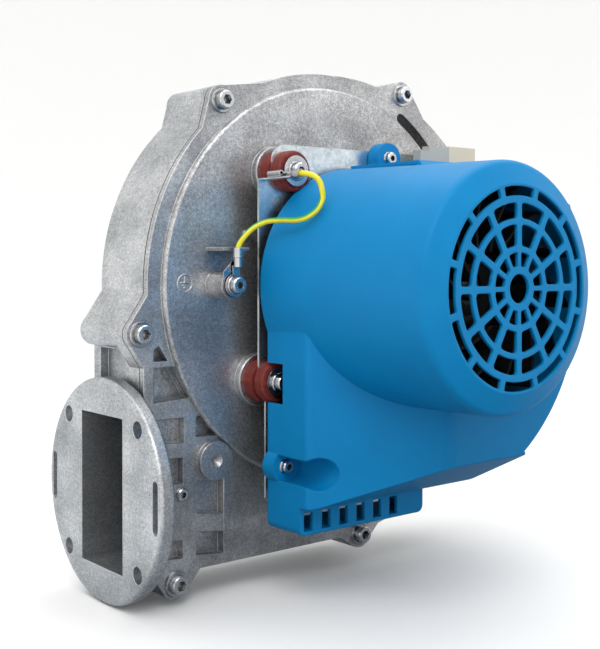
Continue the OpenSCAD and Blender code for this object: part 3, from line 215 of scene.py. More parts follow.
def die_cast_aluminium(name, light, dark, lump):
    """Pressure die-cast aluminium, lightly blasted: an even dull silver with a fine sparkle, faint
    clouds where the melt met and fine marks along the die's draw, which is the Y axis. Its edges
    have a radius of 0.7 mm and carry a painted highlight, with rubbed wear on the convex ones, and
    its recesses carry painted shade. The grit is about 0.3 mm and is drawn at 0.9 mm so that it shows."""
    material, tree, shader, place = start_material(name, light, 1.0, 0.48)
    draw = add_node(tree, "Mapping", {"Vector": place["Object"], "Scale": (1.0, 0.1, 1.0)})
    cloud, grain, drawn, speck = (
        add_node(
            tree,
            "TexNoise",
            {"Vector": vector, "Scale": 1 / size, "Detail": detail, "Roughness": rough},
        )
        for vector, size, detail, rough in (
            (place["Object"], lump, 3.0, 0.5),
            (place["Object"], 0.9 * MM, 2.0, 0.7),
            (draw, 1.2 * MM, 2.0, 0.6),
            (place["Object"], 2.2 * MM, 2.0, 0.7),
        )
    )
    edge = add_node(tree, "Bevel", {"Radius": 0.7 * MM}, samples=RAYS)
    # Ambient occlusion paints shade into the recesses: this darkening of the colour is painted shade.
    open_sky = add_node(tree, "AmbientOcclusion", {"Distance": 4 * MM}, samples=RAYS).outputs["AO"]
    painted_recess_shade = add_node(
        tree,
        "MapRange",
        {"Value": open_sky, "From Min": 0.3, "From Max": 0.9, "To Min": -0.12, "To Max": 0.0},
    )
    shares = [(cloud, 0.3), (grain, 0.4), (drawn, 0.08), (speck, 0.22)]
    # The edge term is a painted highlight along convex and hollow edges, with rubbed wear on the convex
    # ones.
    mixed = blend_values(tree, shares + [(edge_highlight_and_wear(tree, edge), 0.3), (painted_recess_shade, 1.0)])
    tint = add_node(
        tree, "ValToRGB", {"Fac": mixed}, stops=[(0.4, dark), (0.5, light), (0.62, "#e4e5e6")]
    )
    dull = add_node(tree, "MapRange", {"Value": mixed, **NOISE_RANGE, "To Min": 0.54, "To Max": 0.34})
    relief = add_node(
        tree, "Bump", {"Height": grain, "Distance": 0.12 * MM, "Strength": 0.6, "Normal": edge}
    )
    fill_inputs(tree, shader, {"Base Color": tint, "Roughness": dull, "Normal": relief})
    return material


def turned_aluminium(name):
    """Turned aluminium: bright, with a faint mottling of about 3 mm left by the tool and by
    handling."""
    material, tree, shader, place = start_material(name, "#d4d6d8", 1.0, 0.32)
    mottle = add_node(tree, "TexNoise", {"Vector": place["Object"], "Scale": 1 / (3 * MM)})
    dull = add_node(tree, "MapRange", {"Value": mottle, **NOISE_RANGE, "To Min": 0.26, "To Max": 0.4})
    fill_inputs(tree, shader, {"Roughness": dull})
    return material


def zinc_plate(name, light, dark, roughness):
    """Galvanised sheet steel: cool light grey with a faint spangle of about 2 mm, where the zinc
    crystals lie differently, clouds of about 7 mm and fine rolling marks along X."""
    material, tree, shader, place = start_material(name, light, 1.0, roughness)
    cells = add_node(
        tree, "TexVoronoi", {"Vector": place["Object"], "Scale": 1 / (2 * MM)}, feature="F1"
    )
    spangle = add_node(tree, "SeparateColor", {"Color": cells.outputs["Color"]}).outputs["Red"]
    along = add_node(tree, "Mapping", {"Vector": place["Object"], "Scale": (0.1, 1.0, 1.0)})
    rolled = add_node(tree, "TexNoise", {"Vector": along, "Scale": 1 / (0.8 * MM)})
    cloud = add_node(
        tree, "TexNoise", {"Vector": place["Object"], "Scale": 1 / (7 * MM), "Detail": 3.0}
    )
    mixed = blend_values(tree, [(spangle, 0.25), (cloud, 0.45), (rolled, 0.3)])
    tint = add_node(tree, "ValToRGB", {"Fac": mixed}, stops=[(0.3, dark), (0.65, light)])
    spread = 0.06
    limits = {"To Min": roughness + spread, "To Max": roughness - spread}
    dull = add_node(tree, "MapRange", {"Value": mixed, **NOISE_RANGE, **limits})
    fill_inputs(tree, shader, {"Base Color": tint, "Roughness": dull})
    return material


def zinc_screws(name):
    """Zinc-plated screws: bright and slightly duller in patches of about 1.5 mm, with painted shade in
    their sockets and seams. Their edges have a radius of 0.25 mm."""
    material, tree, shader, place = start_material(name, "#c6c7c8", 1.0, 0.22)
    patches = add_node(tree, "TexNoise", {"Vector": place["Object"], "Scale": 1 / (1.5 * MM)})
    dull = add_node(tree, "MapRange", {"Value": patches, **NOISE_RANGE, "To Min": 0.2, "To Max": 0.28})
    # Ambient occlusion paints shade into the sockets and seams; the dark stop of the ramp is painted
    # shade.
    open_sky = add_node(tree, "AmbientOcclusion", {"Distance": 3 * MM}, samples=RAYS).outputs["AO"]
    shade = add_node(
        tree, "ValToRGB", {"Fac": open_sky}, stops=[(0.35, "#2c2e30"), (0.85, "#cbccce")]
    )
    edge = add_node(tree, "Bevel", {"Radius": 0.25 * MM}, samples=RAYS)
    fill_inputs(tree, shader, {"Base Color": shade, "Roughness": dull, "Normal": edge})
    return material


def ground_steel(name):
    """Ground and polished bearing steel: bright with clear reflections, a little uneven over
    about 4 mm."""
    material, tree, shader, place = start_material(name, "#d2d3d5", 1.0, 0.16)
    film = add_node(tree, "TexNoise", {"Vector": place["Object"], "Scale": 1 / (4 * MM)})
    dull = add_node(tree, "MapRange", {"Value": film, **NOISE_RANGE, "To Min": 0.13, "To Max": 0.2})
    fill_inputs(tree, shader, {"Roughness": dull})
    return material


def laminated_steel(name):
    """Stacked sheet steel for the motor: dark, with a thin oxide in patches of about 4 mm that
    are pressed to 1 mm along the stack, which is the Y axis."""
    material, tree, shader, place = start_material(name, "#6b6f74", 1.0, 0.42)
    stack = add_node(tree, "Mapping", {"Vector": place["Object"], "Scale": (1.0, 4.0, 1.0)})
    oxide = add_node(tree, "TexNoise", {"Vector": stack, "Scale": 1 / (4 * MM), "Detail": 3.0})
    tint = add_node(tree, "ValToRGB", {"Fac": oxide}, stops=[(0.35, "#5f6368"), (0.65, "#74787d")])
    fill_inputs(tree, shader, {"Base Color": tint})
    return material


def moulded_plastic(name, colour, darker, roughness, grain_size, grain_depth, edge=0.3 * MM):
    """Injection-moulded plastic with a spark-eroded grain of about 0.3 mm, drawn at twice that or
    more so that it shows, a colour that varies very little over 40 mm and rounded edges."""
    gloss = {"IOR": 1.5, "Specular IOR Level": 0.18}
    material, tree, shader, place = start_material(name, colour, 0.0, roughness, gloss)
    melt = add_node(tree, "TexNoise", {"Vector": place["Object"], "Scale": 1 / (40 * MM)})
    tint = add_node(tree, "ValToRGB", {"Fac": melt}, stops=[(0.3, darker), (0.7, colour)])
    grain = add_node(
        tree, "TexNoise", {"Vector": place["Object"], "Scale": 1 / grain_size, "Roughness": 0.6}
    )
    rounded = add_node(tree, "Bevel", {"Radius": edge}, samples=RAYS)
    relief = add_node(
        tree, "Bump", {"Height": grain, "Distance": grain_depth, "Strength": 0.5, "Normal": rounded}
    )
    fill_inputs(tree, shader, {"Base Color": tint, "Normal": relief})
    return material


def bush_rubber(name):
    """Moulded silicone rubber: red-brown and dull, with a trace of dust in spots of about
    2.5 mm."""
    material, tree, shader, place = start_material(name, "#7c2a22", 0.0, 0.55, {"IOR": 1.45})
    mottle = add_node(
        tree, "TexNoise", {"Vector": place["Object"], "Scale": 1 / (2.5 * MM), "Detail": 3.0}
    )
    tint = add_node(
        tree,
        "ValToRGB",
        {"Fac": mottle},
        stops=[(0.3, "#5e1d18"), (0.6, "#7c2a22"), (0.75, "#8c3a30")],
    )
    fill_inputs(tree, shader, {"Base Color": tint})
    return material


def seal_rubber(name):
    """Nitrile rubber: black and matt, a little uneven over about 2 mm."""
    material, tree, shader, place = start_material(name, "#1a1a1b", 0.0, 0.7, {"IOR": 1.5})
    bloom = add_node(tree, "TexNoise", {"Vector": place["Object"], "Scale": 1 / (2 * MM)})
    dull = add_node(tree, "MapRange", {"Value": bloom, **NOISE_RANGE, "To Min": 0.62, "To Max": 0.76})
    fill_inputs(tree, shader, {"Roughness": dull})
    return material


def copper_wire(name):
    """Enamelled copper wire: warm red-brown under a clear varnish. The wire is about 0.8 mm thick
    and its turns are drawn 1.58 mm apart so that they show. The wave pattern repeats every
    tau / 20 of its scaled units."""
    material, tree, shader, place = start_material(name, "#a5552b", 1.0, 0.35, {"Coat Weight": 0.6})
    wave_period = math.tau / 20
    turns = add_node(
        tree,
        "TexWave",
        {"Vector": place["Object"], "Scale": wave_period / (1.58 * MM)},
        bands_direction="Y",
    )
    relief = add_node(
        tree, "Bump", {"Height": turns.outputs["Fac"], "Distance": 0.3 * MM, "Strength": 0.6}
    )
    fill_inputs(tree, shader, {"Normal": relief})
    return material


def turned_brass(name):
    """Turned brass: yellow metal with a satin cut, handled in patches of about 5 mm."""
    material, tree, shader, place = start_material(name, "#d9b568", 1.0, 0.3)
    handled = add_node(
        tree, "TexNoise", {"Vector": place["Object"], "Scale": 1 / (5 * MM), "Detail": 3.0}
    )
    tint = add_node(tree, "ValToRGB", {"Fac": handled}, stops=[(0.3, "#c9a459"), (0.65, "#dcb96e")])
    dull = add_node(tree, "MapRange", {"Value": handled, **NOISE_RANGE, "To Min": 0.36, "To Max": 0.26})
    fill_inputs(tree, shader, {"Base Color": tint, "Roughness": dull})
    return material


def ferrite(name):
    """Sintered ferrite magnets: dark grey and matt, with the pressed powder drawn at 1 mm."""
    material, tree, shader, place = start_material(name, "#3a3b3e", 0.0, 0.62)
    powder = add_node(
        tree,
        "TexNoise",
        {"Vector": place["Object"], "Scale": 1 / (1 * MM), "Detail": 3.0, "Roughness": 0.7},
    )
    tint = add_node(tree, "ValToRGB", {"Fac": powder}, stops=[(0.35, "#333437"), (0.65, "#414246")])
    fill_inputs(tree, shader, {"Base Color": tint})
    return material


def circuit_board(name):
    """Glass-epoxy board under green solder mask: smooth, with faint tracks in rows 25/6 mm apart.
    A row of the brick pattern is a quarter of a scaled unit high."""
    material, tree, shader, place = start_material(name, "#1d5a36", 0.0, 0.35, {"IOR": 1.5})
    row = 25 / 6 * MM
    tracks = add_node(
        tree,
        "TexBrick",
        {
            "Vector": place["Object"],
            "Scale": 0.25 / row,
            "Color1": linear("#1d5a36"),
            "Color2": linear("#236a40"),
            "Mortar": linear("#174a2c"),
        },
    )
    fill_inputs(tree, shader, {"Base Color": tracks.outputs["Color"]})
    return material


def lead_sleeve(name, yellow, green):
    """Extruded PVC sleeve: glossy yellow with one green stripe of about a fifth of the way round,
    which winds slowly along the lead. The place round the lead is the fraction of U plus the
    turns that the stripe winds for each unit of V."""
    material, tree, shader, place = start_material(name, yellow, 0.0, 0.3, {"IOR": 1.53})
    parts = add_node(tree, "SeparateXYZ", {"Vector": place["UV"]}).outputs
    turns_per_v = -0.034
    wind = add_node(
        tree, "Math", {0: parts["Y"], 1: turns_per_v, 2: parts["X"]}, operation="MULTIPLY_ADD"
    )
    turn = add_node(tree, "Math", {0: wind}, operation="FRACT")
    tint = add_node(
        tree,
        "ValToRGB",
        {"Fac": turn},
        stops=[(0.0, green), (0.11, green), (0.14, yellow), (0.9, yellow), (0.93, green), (1.0, green)],
    )
    fill_inputs(tree, shader, {"Base Color": tint})
    return material


def studio_paper(name):
    """Matt white paper for the floor and the backdrop."""
    return start_material(name, "#f5f5f4", 0.0, 0.9)[0]


def painted_shadow_mat(name):
    """Matt grey mat with a painted shadow of the object: dark close in front of the object and light
    further out. Its colour follows the distance in metres from its darkest place."""
    material, tree, shader, place = start_material(name, "#8f969c", 0.0, 0.9)
    # The dark middle is a painted shadow of the object on the floor.
    darkest = (0.02, -0.3, -0.15)
    away = add_node(tree, "VectorMath", {0: place["Object"], 1: darkest}, operation="DISTANCE")
    tint = add_node(
        tree,
        "ValToRGB",
        {"Fac": away.outputs["Value"]},
        stops=[(0.12, "#6c7379"), (0.26, "#a9aeb2"), (0.42, "#d4d7d9")],
    )
    fill_inputs(tree, shader, {"Base Color": tint})
    return material


# ---------------------------------------------------------------- settings


class BlowerFinishes(bpy.types.PropertyGroup):
    cover_colour: bpy.props.FloatVectorProperty(
        name="Cover colour",
        description="Linear colour of the motor cover",
        default=linear("#0083bf")[:3],
        min=0.0,
        max=1.0,
        subtype="COLOR",
        size=3,
    )
    cover_shade: bpy.props.FloatVectorProperty(
        name="Cover shade",
        description="Linear colour of the faintly darker parts of the motor cover",
        default=linear("#007cb7")[:3],
        min=0.0,
        max=1.0,
        subtype="COLOR",
        size=3,
    )
    casting_lump: bpy.props.FloatProperty(
        name="Casting clouds",
        description="Size of the cloudy flow marks on the castings",
        default=26 * MM,
        min=2 * MM,
        max=60 * MM,
        unit="LENGTH",
    )


class BlowerLead(bpy.types.PropertyGroup):
    diameter: bpy.props.FloatProperty(
        name="Lead diameter",
        description="Outside diameter of the earth lead's sleeve",
        default=3 * MM,
        min=2 * MM,
        max=4 * MM,
        unit="LENGTH",
    )
    sides: bpy.props.IntProperty(
        name="Lead sides", description="Points round the lead", default=20, min=8, max=48
    )


class BlowerMarks(bpy.types.PropertyGroup):
    sign_radius: bpy.props.FloatProperty(
        name="Earth sign radius",
        description="Outside radius of the earth sign on the front plate",
        default=5 * MM,
        min=3 * MM,
        max=8 * MM,
        unit="LENGTH",
    )


class BlowerStage(bpy.types.PropertyGroup):
    key_power: bpy.props.FloatProperty(
        name="Key light",
        description="Power of the large light at the upper left",
        default=15.0,
        min=0.0,
        unit="POWER",
    )
    fill_power: bpy.props.FloatProperty(
        name="Top light",
        description="Power of the light above",
        default=14.0,
        min=0.0,
        unit="POWER",
    )
    world_strength: bpy.props.FloatProperty(
        name="Room light",
        description="Strength of the even light all round",
        default=0.95,
        min=0.0,
    )
    room_radius: bpy.props.FloatProperty(
        name="Room radius",
        description="Radius of the white room",
        default=2.6,
        min=1.5,
        unit="LENGTH",
    )
    focal_length: bpy.props.FloatProperty(
        name="Focal length",
        description="Camera lens in millimetres",
        default=59.99,
        min=20.0,
        unit="CAMERA",
    )


# ---------------------------------------------------------------- finishes


class BLOWER_OT_finishes(bpy.types.Operator):
    """Gives every CAD piece its material"""

    bl_idname = "blower.finishes"
    bl_label = "Finish the CAD pieces"

    def execute(self, context):
        looks = context.scene.blower_finishes
        lump = looks.casting_lump
        abs_skin = {"roughness": 0.48, "grain_size": 0.7 * MM, "grain_depth": 0.03 * MM, "edge": 1.2 * MM}
        dull_nylon = {"roughness": 0.5, "grain_size": 0.8 * MM, "grain_depth": 0.03 * MM}
        fine_nylon = {"roughness": 0.45, "grain_size": 0.8 * MM, "grain_depth": 0.02 * MM}
        materials = {
            "cast_shell": die_cast_aluminium("die_cast_scroll", "#bec0c2", "#9a9ea2", lump),
            "cast_front": die_cast_aluminium("die_cast_front", "#b9b8b9", "#939497", lump),
            "turned_aluminium": turned_aluminium("turned_aluminium"),
            "seal_rubber": seal_rubber("nitrile_rubber"),
            "bush_rubber": bush_rubber("silicone_bush_rubber"),
            "zinc_steel": zinc_screws("zinc_plated_screws"),
            "zinc_plate": zinc_plate("galvanised_sheet", "#eef4f6", "#c8d3d6", 0.32),
            "bearing_steel": ground_steel("ground_bearing_steel"),
            "core_steel": laminated_steel("motor_sheet_steel"),
            "copper_wire": copper_wire("enamelled_copper"),
            "hub_brass": turned_brass("turned_brass"),
            "magnet_ferrite": ferrite("sintered_ferrite"),
            "black_plastic": moulded_plastic("black_moulded_nylon", "#1d1e20", "#161718", **dull_nylon),
            "circuit_board": circuit_board("green_board_lacquer"),
            "grey_connector": moulded_plastic(
                "grey_connector_nylon", "#bab8b0", "#afada5", **fine_nylon
            ),
            "cream_connector": moulded_plastic(
                "cream_connector_nylon", "#ddd2bd", "#d3c8b2", **fine_nylon
            ),
            "blue_plastic": moulded_plastic(
                "blue_moulded_abs", looks.cover_colour, looks.cover_shade, **abs_skin
            ),
            "lead_sleeve": lead_sleeve("yellow_green_sleeve", "#e6d826", "#37a044"),
        }
        for name, piece in NODES.items():
            for place in piece.material_slots:
                place.material = materials[SLOTS[name]]
        return {"FINISHED"}


# ---------------------------------------------------------------- earth lead

# Route in millimetres: X, height and distance in front of the front plate's raised middle
LEAD_ROUTE = np.array(
    [
        (-56.5, 58.9, 42.0),
        (-56.3, 58.9, 45.2),
        (-54.6, 57.4, 51.0),
        (-53.0, 54.5, 53.8),
        (-52.2, 50.0, 55.0),
        (-51.9, 45.5, 55.0),
        (-55.2, 39.6, 54.5),
        (-59.4, 35.6, 51.0),
        (-61.3, 34.4, 45.0),
        (-62.3, 34.6, 38.0),
        (-63.0, 34.6, 32.0),
        (-66.0, 33.9, 25.5),
        (-71.3, 31.0, 22.3),
        (-75.8, 26.7, 20.6),
        (-78.8, 21.8, 19.1),
        (-79.4, 17.4, 18.6),
    ]
)
# Points of the smooth curve from one point of the route to the next
LEAD_STEPS = 6
# A direction that the lead never runs along
LEAD_SIDE = np.array([0.3, 0.5, 0.81])
# Radii of the lead along which the sleeve's V grows by one
RADII_PER_V = 20


def route_in_frame(route):
    """The route's points in the part's frame: (x, face - distance, height), in metres."""
    return np.stack([route[:, 0] * MM, DISH_FACE - route[:, 2] * MM, route[:, 1] * MM], axis=1)


def smooth_path(points, steps):
    """A Catmull-Rom curve: between two points each coordinate is the cubic that passes through
    both and whose slope at each is half the chord of its neighbours."""
    p = np.vstack([2 * points[0] - points[1], points, 2 * points[-1] - points[-2]])
    t = np.linspace(0, 1, steps, endpoint=False)[None, :, None]
    a, b, c, d = p[:-3, None], p[1:-2, None], p[2:-1, None], p[3:, None]
    square = (2 * a - 5 * b + 4 * c - d) * t**2
    cube = (3 * b - a - 3 * c + d) * t**3
    curve = 0.5 * (2 * b + (c - a) * t + square + cube)
    return np.vstack([curve.reshape(-1, 3), points[-1]])


def tube(path, radius, sides):
    """A round tube: each ring is the path's point plus radius times (cos, sin) along two unit
    vectors square to the path. Returns the points, the quads and a UV for every quad's corner,
    where U goes once round and V is the length so far in twenties of the radius."""
    tangent = np.gradient(path, axis=0)
    tangent /= np.linalg.norm(tangent, axis=1, keepdims=True)
    flat = np.cross(LEAD_SIDE, tangent)
    flat /= np.linalg.norm(flat, axis=1, keepdims=True)
    side = np.cross(tangent, flat)
    angle = full_turn(sides)[None, :, None]
    rings = path[:, None] + radius * (np.cos(angle) * flat[:, None] + np.sin(angle) * side[:, None])
    row, column = np.divmod(np.arange((len(path) - 1) * sides), sides)
    steps = np.linalg.norm(np.diff(path, axis=0), axis=1)
    along = np.concatenate([[0], np.cumsum(steps)]) / (RADII_PER_V * radius)
    u = np.stack([column, column + 1, column + 1, column], axis=1) / sides
    v = np.stack([along[row], along[row], along[row + 1], along[row + 1]], axis=1)
    return rings, grid_faces(len(path), sides), np.stack([u, v], axis=-1)


class BLOWER_OT_lead(bpy.types.Operator):
    """Makes the earth lead's sleeve along its route, in place of its CAD solid"""

    bl_idname = "blower.lead"
    bl_label = "Make the earth lead"

    def execute(self, context):
        size = context.scene.blower_lead
        path = smooth_path(route_in_frame(LEAD_ROUTE), LEAD_STEPS)
        rings, quads, uv = tube(path, size.diameter / 2, size.sides)
        first = np.arange(size.sides)
        last = first + (len(path) - 1) * size.sides
        faces = quads.tolist() + [first[::-1].tolist(), last.tolist()]
        end_uv = np.full((2 * size.sides, 2), 0.5)
        uv = np.concatenate([uv.reshape(-1, 2), end_uv])
        sleeve = add_piece("earth_lead_sleeve", rings, faces, "lead_sleeve", uv=uv)
        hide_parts("earth_lead")
        return {"FINISHED"}


# ---------------------------------------------------------------- raised and machined marks

# Points across the half ellipse of a raised strip
STRIP_POINTS = 6

# Upright and three shorter and shorter bars of the earth sign, as shares of its radius
SIGN_BARS = [((0, 0.68), (0, 0.1))] + [
    ((-half, level), (half, level)) for half, level in ((0.52, 0.06), (0.33, -0.2), (0.14, -0.46))
]
# Where the signs' middles are in X and Z
CAST_SIGN = (-100.4 * MM, 1.4 * MM)
STAMPED_SIGN = (-48.9 * MM, 44.5 * MM)

# Raised line beside the front plate's pockets, in X and Z
EDGE_LINE = np.array([(-73.5, -105.4), (-73.5, -142.1), (-72.2, -146.2), (-68.5, -150.3)]) * MM

# Machined rims of the bosses that carry the bushes: radii, chamfer, how far the skirt reaches
# back from the rim's face and how far that face stands in front of the bush's back
RIM_OUTER = 14.55 * MM
RIM_INNER = 12.1 * MM
RIM_CHAMFER = 0.5 * MM
RIM_SKIRT = 1.2 * MM
RIM_PROUD = 0.03 * MM

# Mark that the mould's gate leaves on the box of the cover, low down at the left
GATE_PLACE = np.array([-57.49, -115.1, -64.14]) * MM
GATE_NORMAL = np.array([-0.5665, -0.824, 0.0])
GATE_RADIUS = 0.8 * MM
GATE_HEIGHT = 0.3 * MM


def ring_strip(centre, face, radius, width, height, sides=48):
    """A raised ring on a face that looks along -Y: at every angle its section is half an ellipse,
    radius plus half the width times cos(t) outwards and the height times sin(t) off the face."""
    t = np.linspace(0, np.pi, STRIP_POINTS)[:, None]
    angle = full_turn(sides)[None, :]
    reach = radius + width / 2 * np.cos(t)
    x = centre[0] + reach * np.cos(angle)
    y = face - height * np.sin(t) + 0 * angle
    z = centre[1] + reach * np.sin(angle)
    return np.stack([x, y, z], axis=-1), grid_faces(STRIP_POINTS, sides)


def bar_strip(start, end, face, width, height):
    """A raised bar with round ends on a face that looks along -Y: its section is the ring's half
    ellipse. At k half widths into an end it narrows to the square root of 1 - k * k."""
    ends = np.array([start, end])
    along = (ends[1] - ends[0]) / np.linalg.norm(ends[1] - ends[0])
    across = np.array([-along[1], along[0]])
    k = np.array([-1.0, -0.9, -0.6, 0.0, 0.0, 0.6, 0.9, 1.0])
    middle = np.repeat(ends, k.size // 2, axis=0) + width / 2 * k[:, None] * along
    share = np.sqrt(1 - k**2)[:, None]
    t = np.linspace(0, np.pi, STRIP_POINTS)[None, :]
    flat = middle[:, None] + (width / 2 * share * np.cos(t))[..., None] * across
    y = face - height * share * np.sin(t)
    faces = grid_faces(k.size, STRIP_POINTS, loop=False)
    return np.stack([flat[..., 0], y, flat[..., 1]], axis=-1), faces


def join_strips(strips):
    """Puts several strips into one array of points and one list of faces."""
    points, faces, count = [], [], 0
    for strip, quads in strips:
        points.append(strip.reshape(-1, 3))
        faces += (quads + count).tolist()
        count += len(points[-1])
    return np.vstack(points), faces


def earth_sign(centre, face, radius, stroke, height):
    """The protective earth sign: a ring, an upright and three bars that get shorter."""
    bars = np.array(centre) + radius * np.array(SIGN_BARS)
    ring = ring_strip(centre, face, radius - stroke / 2, stroke, height)
    return join_strips([ring] + [bar_strip(*ends, face, stroke, height) for ends in bars])


def turned_skin(axis, profile, sides=64):
    """A surface turned about an axis along Y: every (radius, Y) of the profile goes round it."""
    radius, y = np.array(profile).T[..., None]
    angle = full_turn(sides)[None, :]
    x = axis[0] + radius * np.cos(angle)
    z = axis[1] + radius * np.sin(angle)
    return np.stack([x, y + 0 * angle, z], axis=-1), grid_faces(len(profile), sides)


def small_dome(place, normal, radius, height, rows=6, sides=24):
    """A low dome: at (a, t) it is the place plus radius times cos(t) round the normal and the
    height times sin(t) along it."""
    normal = normal / np.linalg.norm(normal)
    side = np.cross(normal, [0.0, 0.0, 1.0])
    side /= np.linalg.norm(side)
    up = np.cross(normal, side)
    t = np.linspace(0, np.pi / 2, rows)[:, None, None]
    a = full_turn(sides)[None, :, None]
    ring = radius * np.cos(t) * (np.cos(a) * side + np.sin(a) * up)
    return place + ring + height * np.sin(t) * normal, grid_faces(rows, sides)


class BLOWER_OT_signs(bpy.types.Operator):
    """Makes the cast earth sign on the front plate and the stamped one on the motor plate"""

    bl_idname = "blower.signs"
    bl_label = "Make the earth signs"

    def execute(self, context):
        radius = context.scene.blower_marks.sign_radius
        cast = earth_sign(CAST_SIGN, DISH_FACE + MARK_SINK, radius, 0.95 * MM, 0.5 * MM)
        add_piece("cast_earth_sign", *cast, "cast_front")
        stamped = earth_sign(STAMPED_SIGN, SHEET_FACE + MARK_SINK, 0.8 * radius, 0.7 * MM, 0.1 * MM)
        add_piece("stamped_earth_sign", *stamped, "zinc_plate")
        return {"FINISHED"}


class BLOWER_OT_edge_line(bpy.types.Operator):
    """Makes the faint raised line that bends round the foot of the front plate"""

    bl_idname = "blower.edge_line"
    bl_label = "Make the plate's edge line"

    def execute(self, context):
        width, height = 1.0 * MM, 0.4 * MM
        line = join_strips(
            bar_strip(start, end, PLATE_RIM_FACE + MARK_SINK, width, height)
            for start, end in zip(EDGE_LINE[:-1], EDGE_LINE[1:])
        )
        add_piece("plate_edge_line", *line, "cast_front")
        return {"FINISHED"}


class BLOWER_OT_boss_rims(bpy.types.Operator):
    """Makes the machined rims of the three bosses behind the rubber bushes"""

    bl_idname = "blower.boss_rims"
    bl_label = "Make the boss rims"

    def execute(self, context):
        for name in ("upper_bush", "lower_bush", "right_bush"):
            low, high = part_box(name)
            axis = ((low[0] + high[0]) / 2, (low[2] + high[2]) / 2)
            seat = high[1] - RIM_PROUD
            profile = [
                (RIM_OUTER, seat + RIM_SKIRT),
                (RIM_OUTER, seat + RIM_CHAMFER),
                (RIM_OUTER - RIM_CHAMFER, seat),
                (RIM_INNER, seat),
            ]
            points, faces = turned_skin(axis, profile)
            rim = name.replace("bush", "boss_rim")
            add_piece(rim, points, faces.tolist(), "turned_aluminium", smooth=False)
        return {"FINISHED"}


class BLOWER_OT_gate_mark(bpy.types.Operator):
    """Makes the small dome where the cover's plastic entered the mould"""

    bl_idname = "blower.gate_mark"
    bl_label = "Make the cover's gate mark"

    def execute(self, context):
        points, faces = small_dome(GATE_PLACE, GATE_NORMAL, GATE_RADIUS, GATE_HEIGHT)
        add_piece("cover_gate_mark", points, faces.tolist(), "blue_plastic")
        return {"FINISHED"}


# ---------------------------------------------------------------- studio

# Name, place, target, side length, power setting and share of that power
LIGHTS = (
    ("key_light", (-0.9, -1.1, 1.5), (0.0, -0.1, 0.0), 1.2, "key_power", 1.0),
    ("top_light", (0.5, 0.2, 1.6), (0.0, -0.1, 0.0), 1.6, "fill_power", 1.0),
    ("side_light", (1.3, -1.0, 0.6), (0.05, -0.1, 0.0), 0.8, "fill_power", 0.08),
)
# Wall of the room above the floor, bend between floor and wall, and middle of the floor
WALL_HEIGHT = 2.4
BEND_RADIUS = 0.9
MAT_RADIUS = 0.8

CAMERA_PLACE = (-0.41355, -0.54126, 0.01721)
CAMERA_DOWN = 0.646  # degrees below level
CAMERA_RIGHT = 39.189  # degrees to the right of +Y
CAMERA_SHIFT = -0.0909


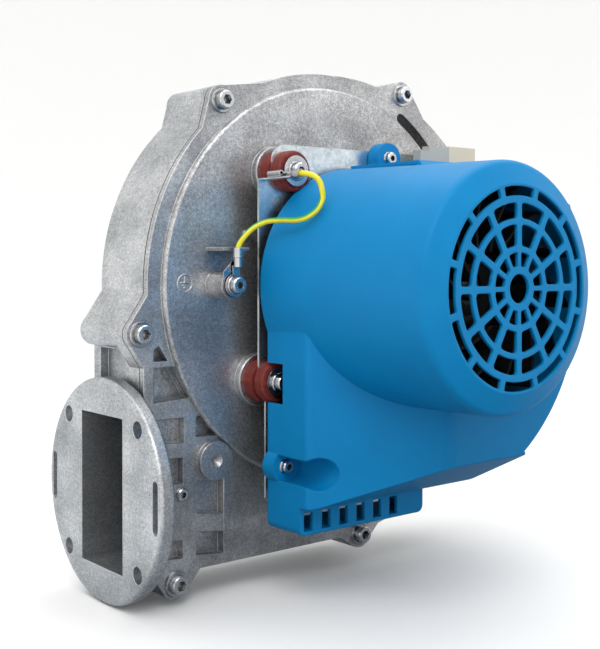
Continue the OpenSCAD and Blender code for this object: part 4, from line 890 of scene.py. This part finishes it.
class BLOWER_OT_stage(bpy.types.Operator):
    """Makes the white room, the lights and the camera"""

    bl_idname = "blower.stage"
    bl_label = "Make the studio"

    def execute(self, context):
        stage = context.scene.blower_stage
        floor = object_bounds()[0].z
        self.make_room(stage.room_radius, floor)
        for name, place, target, size, power, share in LIGHTS:
            self.make_light(name, place, target, size, share * getattr(stage, power))
        world = bpy.data.worlds.new("room_light")
        world.use_nodes = True
        background = world.node_tree.nodes["Background"]
        background.inputs["Color"].default_value = linear("#fcfcfd")
        background.inputs["Strength"].default_value = stage.world_strength
        context.scene.world = world
        context.scene.view_settings.view_transform = "Standard"
        self.make_flag(floor)
        self.make_camera(context, stage.focal_length)
        return {"FINISHED"}

    @staticmethod
    def turned_sheet(name, radius, height, material, sides=96):
        """A sheet turned about the vertical: every (radius, height) goes round a full circle."""
        angle = full_turn(sides)[None, :]
        x = radius[:, None] * np.cos(angle)
        y = radius[:, None] * np.sin(angle)
        points = np.stack([x, y, height[:, None] + 0 * angle], axis=-1)
        sheet = new_object(name, points, grid_faces(*points.shape[:2]).tolist(), material)
        sheet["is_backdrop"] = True
        return sheet

    def make_room(self, wall, floor):
        """A white room: a flat floor, a quarter-circle bend and a wall. The middle of the floor is
        white to the camera, and the object sees a grey mat there, so little light comes from
        below: the mat is painted shade in place of the white floor's bounce, and it carries a painted
        shadow of the object."""
        paper = studio_paper("matt_white_paper")
        turn = np.linspace(-np.pi / 2, 0, 16)
        bend_out = wall - BEND_RADIUS + BEND_RADIUS * np.cos(turn)
        bend_up = BEND_RADIUS + BEND_RADIUS * np.sin(turn)
        radius = np.concatenate([[MAT_RADIUS], bend_out, [wall]])
        height = np.concatenate([[0], bend_up, [WALL_HEIGHT]]) + floor
        self.turned_sheet("studio_room", radius, height, paper)
        disc = np.array([MM, MAT_RADIUS])
        middle = self.turned_sheet("studio_floor", disc, np.full(2, floor), paper)
        middle.visible_diffuse = middle.visible_glossy = middle.visible_shadow = False
        # The hidden grey mat is painted shade from below, with a painted shadow of the object.
        mat = self.turned_sheet("studio_mat", disc, np.full(2, floor - MM), painted_shadow_mat("grey_mat"))
        mat.visible_camera = False

    @staticmethod
    def make_flag(floor):
        """A dark card at the front right that only mirrored rays meet: the castings and the sheet
        metal reflect it, as they do a studio's flag, and it throws no shadow. Its corners are the
        middle plus or minus half a width across, at the lower and the upper edge."""
        middle = np.array([0.62, -0.78, 0.0])
        across = np.array([0.87, 0.5, 0.0])
        half, low, high = 0.9, floor + 0.03, 0.1
        side = np.array([-half, half, half, -half])[:, None]
        height = np.array([low, low, high, high])[:, None]
        points = middle + side * across + height * (0.0, 0.0, 1.0)
        black = start_material("black_card", "#1c2126", 0.0, 0.9)[0]
        card = new_object("dark_card", points, [(0, 1, 2, 3)], black, smooth=False)
        card.visible_camera = card.visible_diffuse = card.visible_shadow = False
        card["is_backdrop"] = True

    @staticmethod
    def make_light(name, place, target, size, power):
        """A square area light that faces a point."""
        light = bpy.data.lights.new(name, "AREA")
        light.shape = "SQUARE"
        light.size = size
        light.energy = power
        lamp = bpy.data.objects.new(name, light)
        lamp.location = place
        away = np.array(place) - np.array(target)
        lean = math.acos(away[2] / np.linalg.norm(away))
        lamp.rotation_euler = (lean, 0.0, math.atan2(away[1], away[0]) + math.pi / 2)
        bpy.context.scene.collection.objects.link(lamp)

    @staticmethod
    def make_camera(context, focal_length):
        """The camera stands to the front left, almost level with the shaft."""
        data = bpy.data.cameras.new("camera")
        data.sensor_width = 36.0
        data.lens = focal_length
        data.shift_y = CAMERA_SHIFT
        data.clip_start = 0.05
        data.clip_end = 20.0
        camera = bpy.data.objects.new("camera", data)
        camera.location = CAMERA_PLACE
        camera.rotation_euler = (math.radians(90 - CAMERA_DOWN), 0.0, math.radians(-CAMERA_RIGHT))
        context.scene.collection.objects.link(camera)
        context.scene.camera = camera


# ---------------------------------------------------------------- add-on


class BLOWER_PT_panel(bpy.types.Panel):
    """Lists the blower's sizes, colours and steps in the sidebar"""

    bl_idname = "BLOWER_PT_panel"
    bl_label = "Blower"
    bl_space_type = "VIEW_3D"
    bl_region_type = "UI"
    bl_category = "Blower"

    def draw(self, context):
        for name in GROUPS:
            group = getattr(context.scene, name)
            box = self.layout.box()
            for value in group.__annotations__:
                box.prop(group, value)
        for step in STEPS:
            self.layout.operator(step.bl_idname)


GROUPS = {
    "blower_finishes": BlowerFinishes,
    "blower_lead": BlowerLead,
    "blower_marks": BlowerMarks,
    "blower_stage": BlowerStage,
}
STEPS = (
    BLOWER_OT_finishes,
    BLOWER_OT_lead,
    BLOWER_OT_signs,
    BLOWER_OT_edge_line,
    BLOWER_OT_boss_rims,
    BLOWER_OT_gate_mark,
    BLOWER_OT_stage,
)
CLASSES = (*GROUPS.values(), *STEPS, BLOWER_PT_panel)


def register():
    for item in CLASSES:
        bpy.utils.register_class(item)
    for name, group in GROUPS.items():
        setattr(bpy.types.Scene, name, bpy.props.PointerProperty(type=group))


def unregister():
    for name in GROUPS:
        delattr(bpy.types.Scene, name)
    for item in reversed(CLASSES):
        bpy.utils.unregister_class(item)


def main():
    register()
    bpy.ops.blower.finishes()
    bpy.ops.blower.lead()
    bpy.ops.blower.signs()
    bpy.ops.blower.edge_line()
    bpy.ops.blower.boss_rims()
    bpy.ops.blower.gate_mark()
    bpy.ops.blower.stage()


if __name__ == "__main__":
    main()
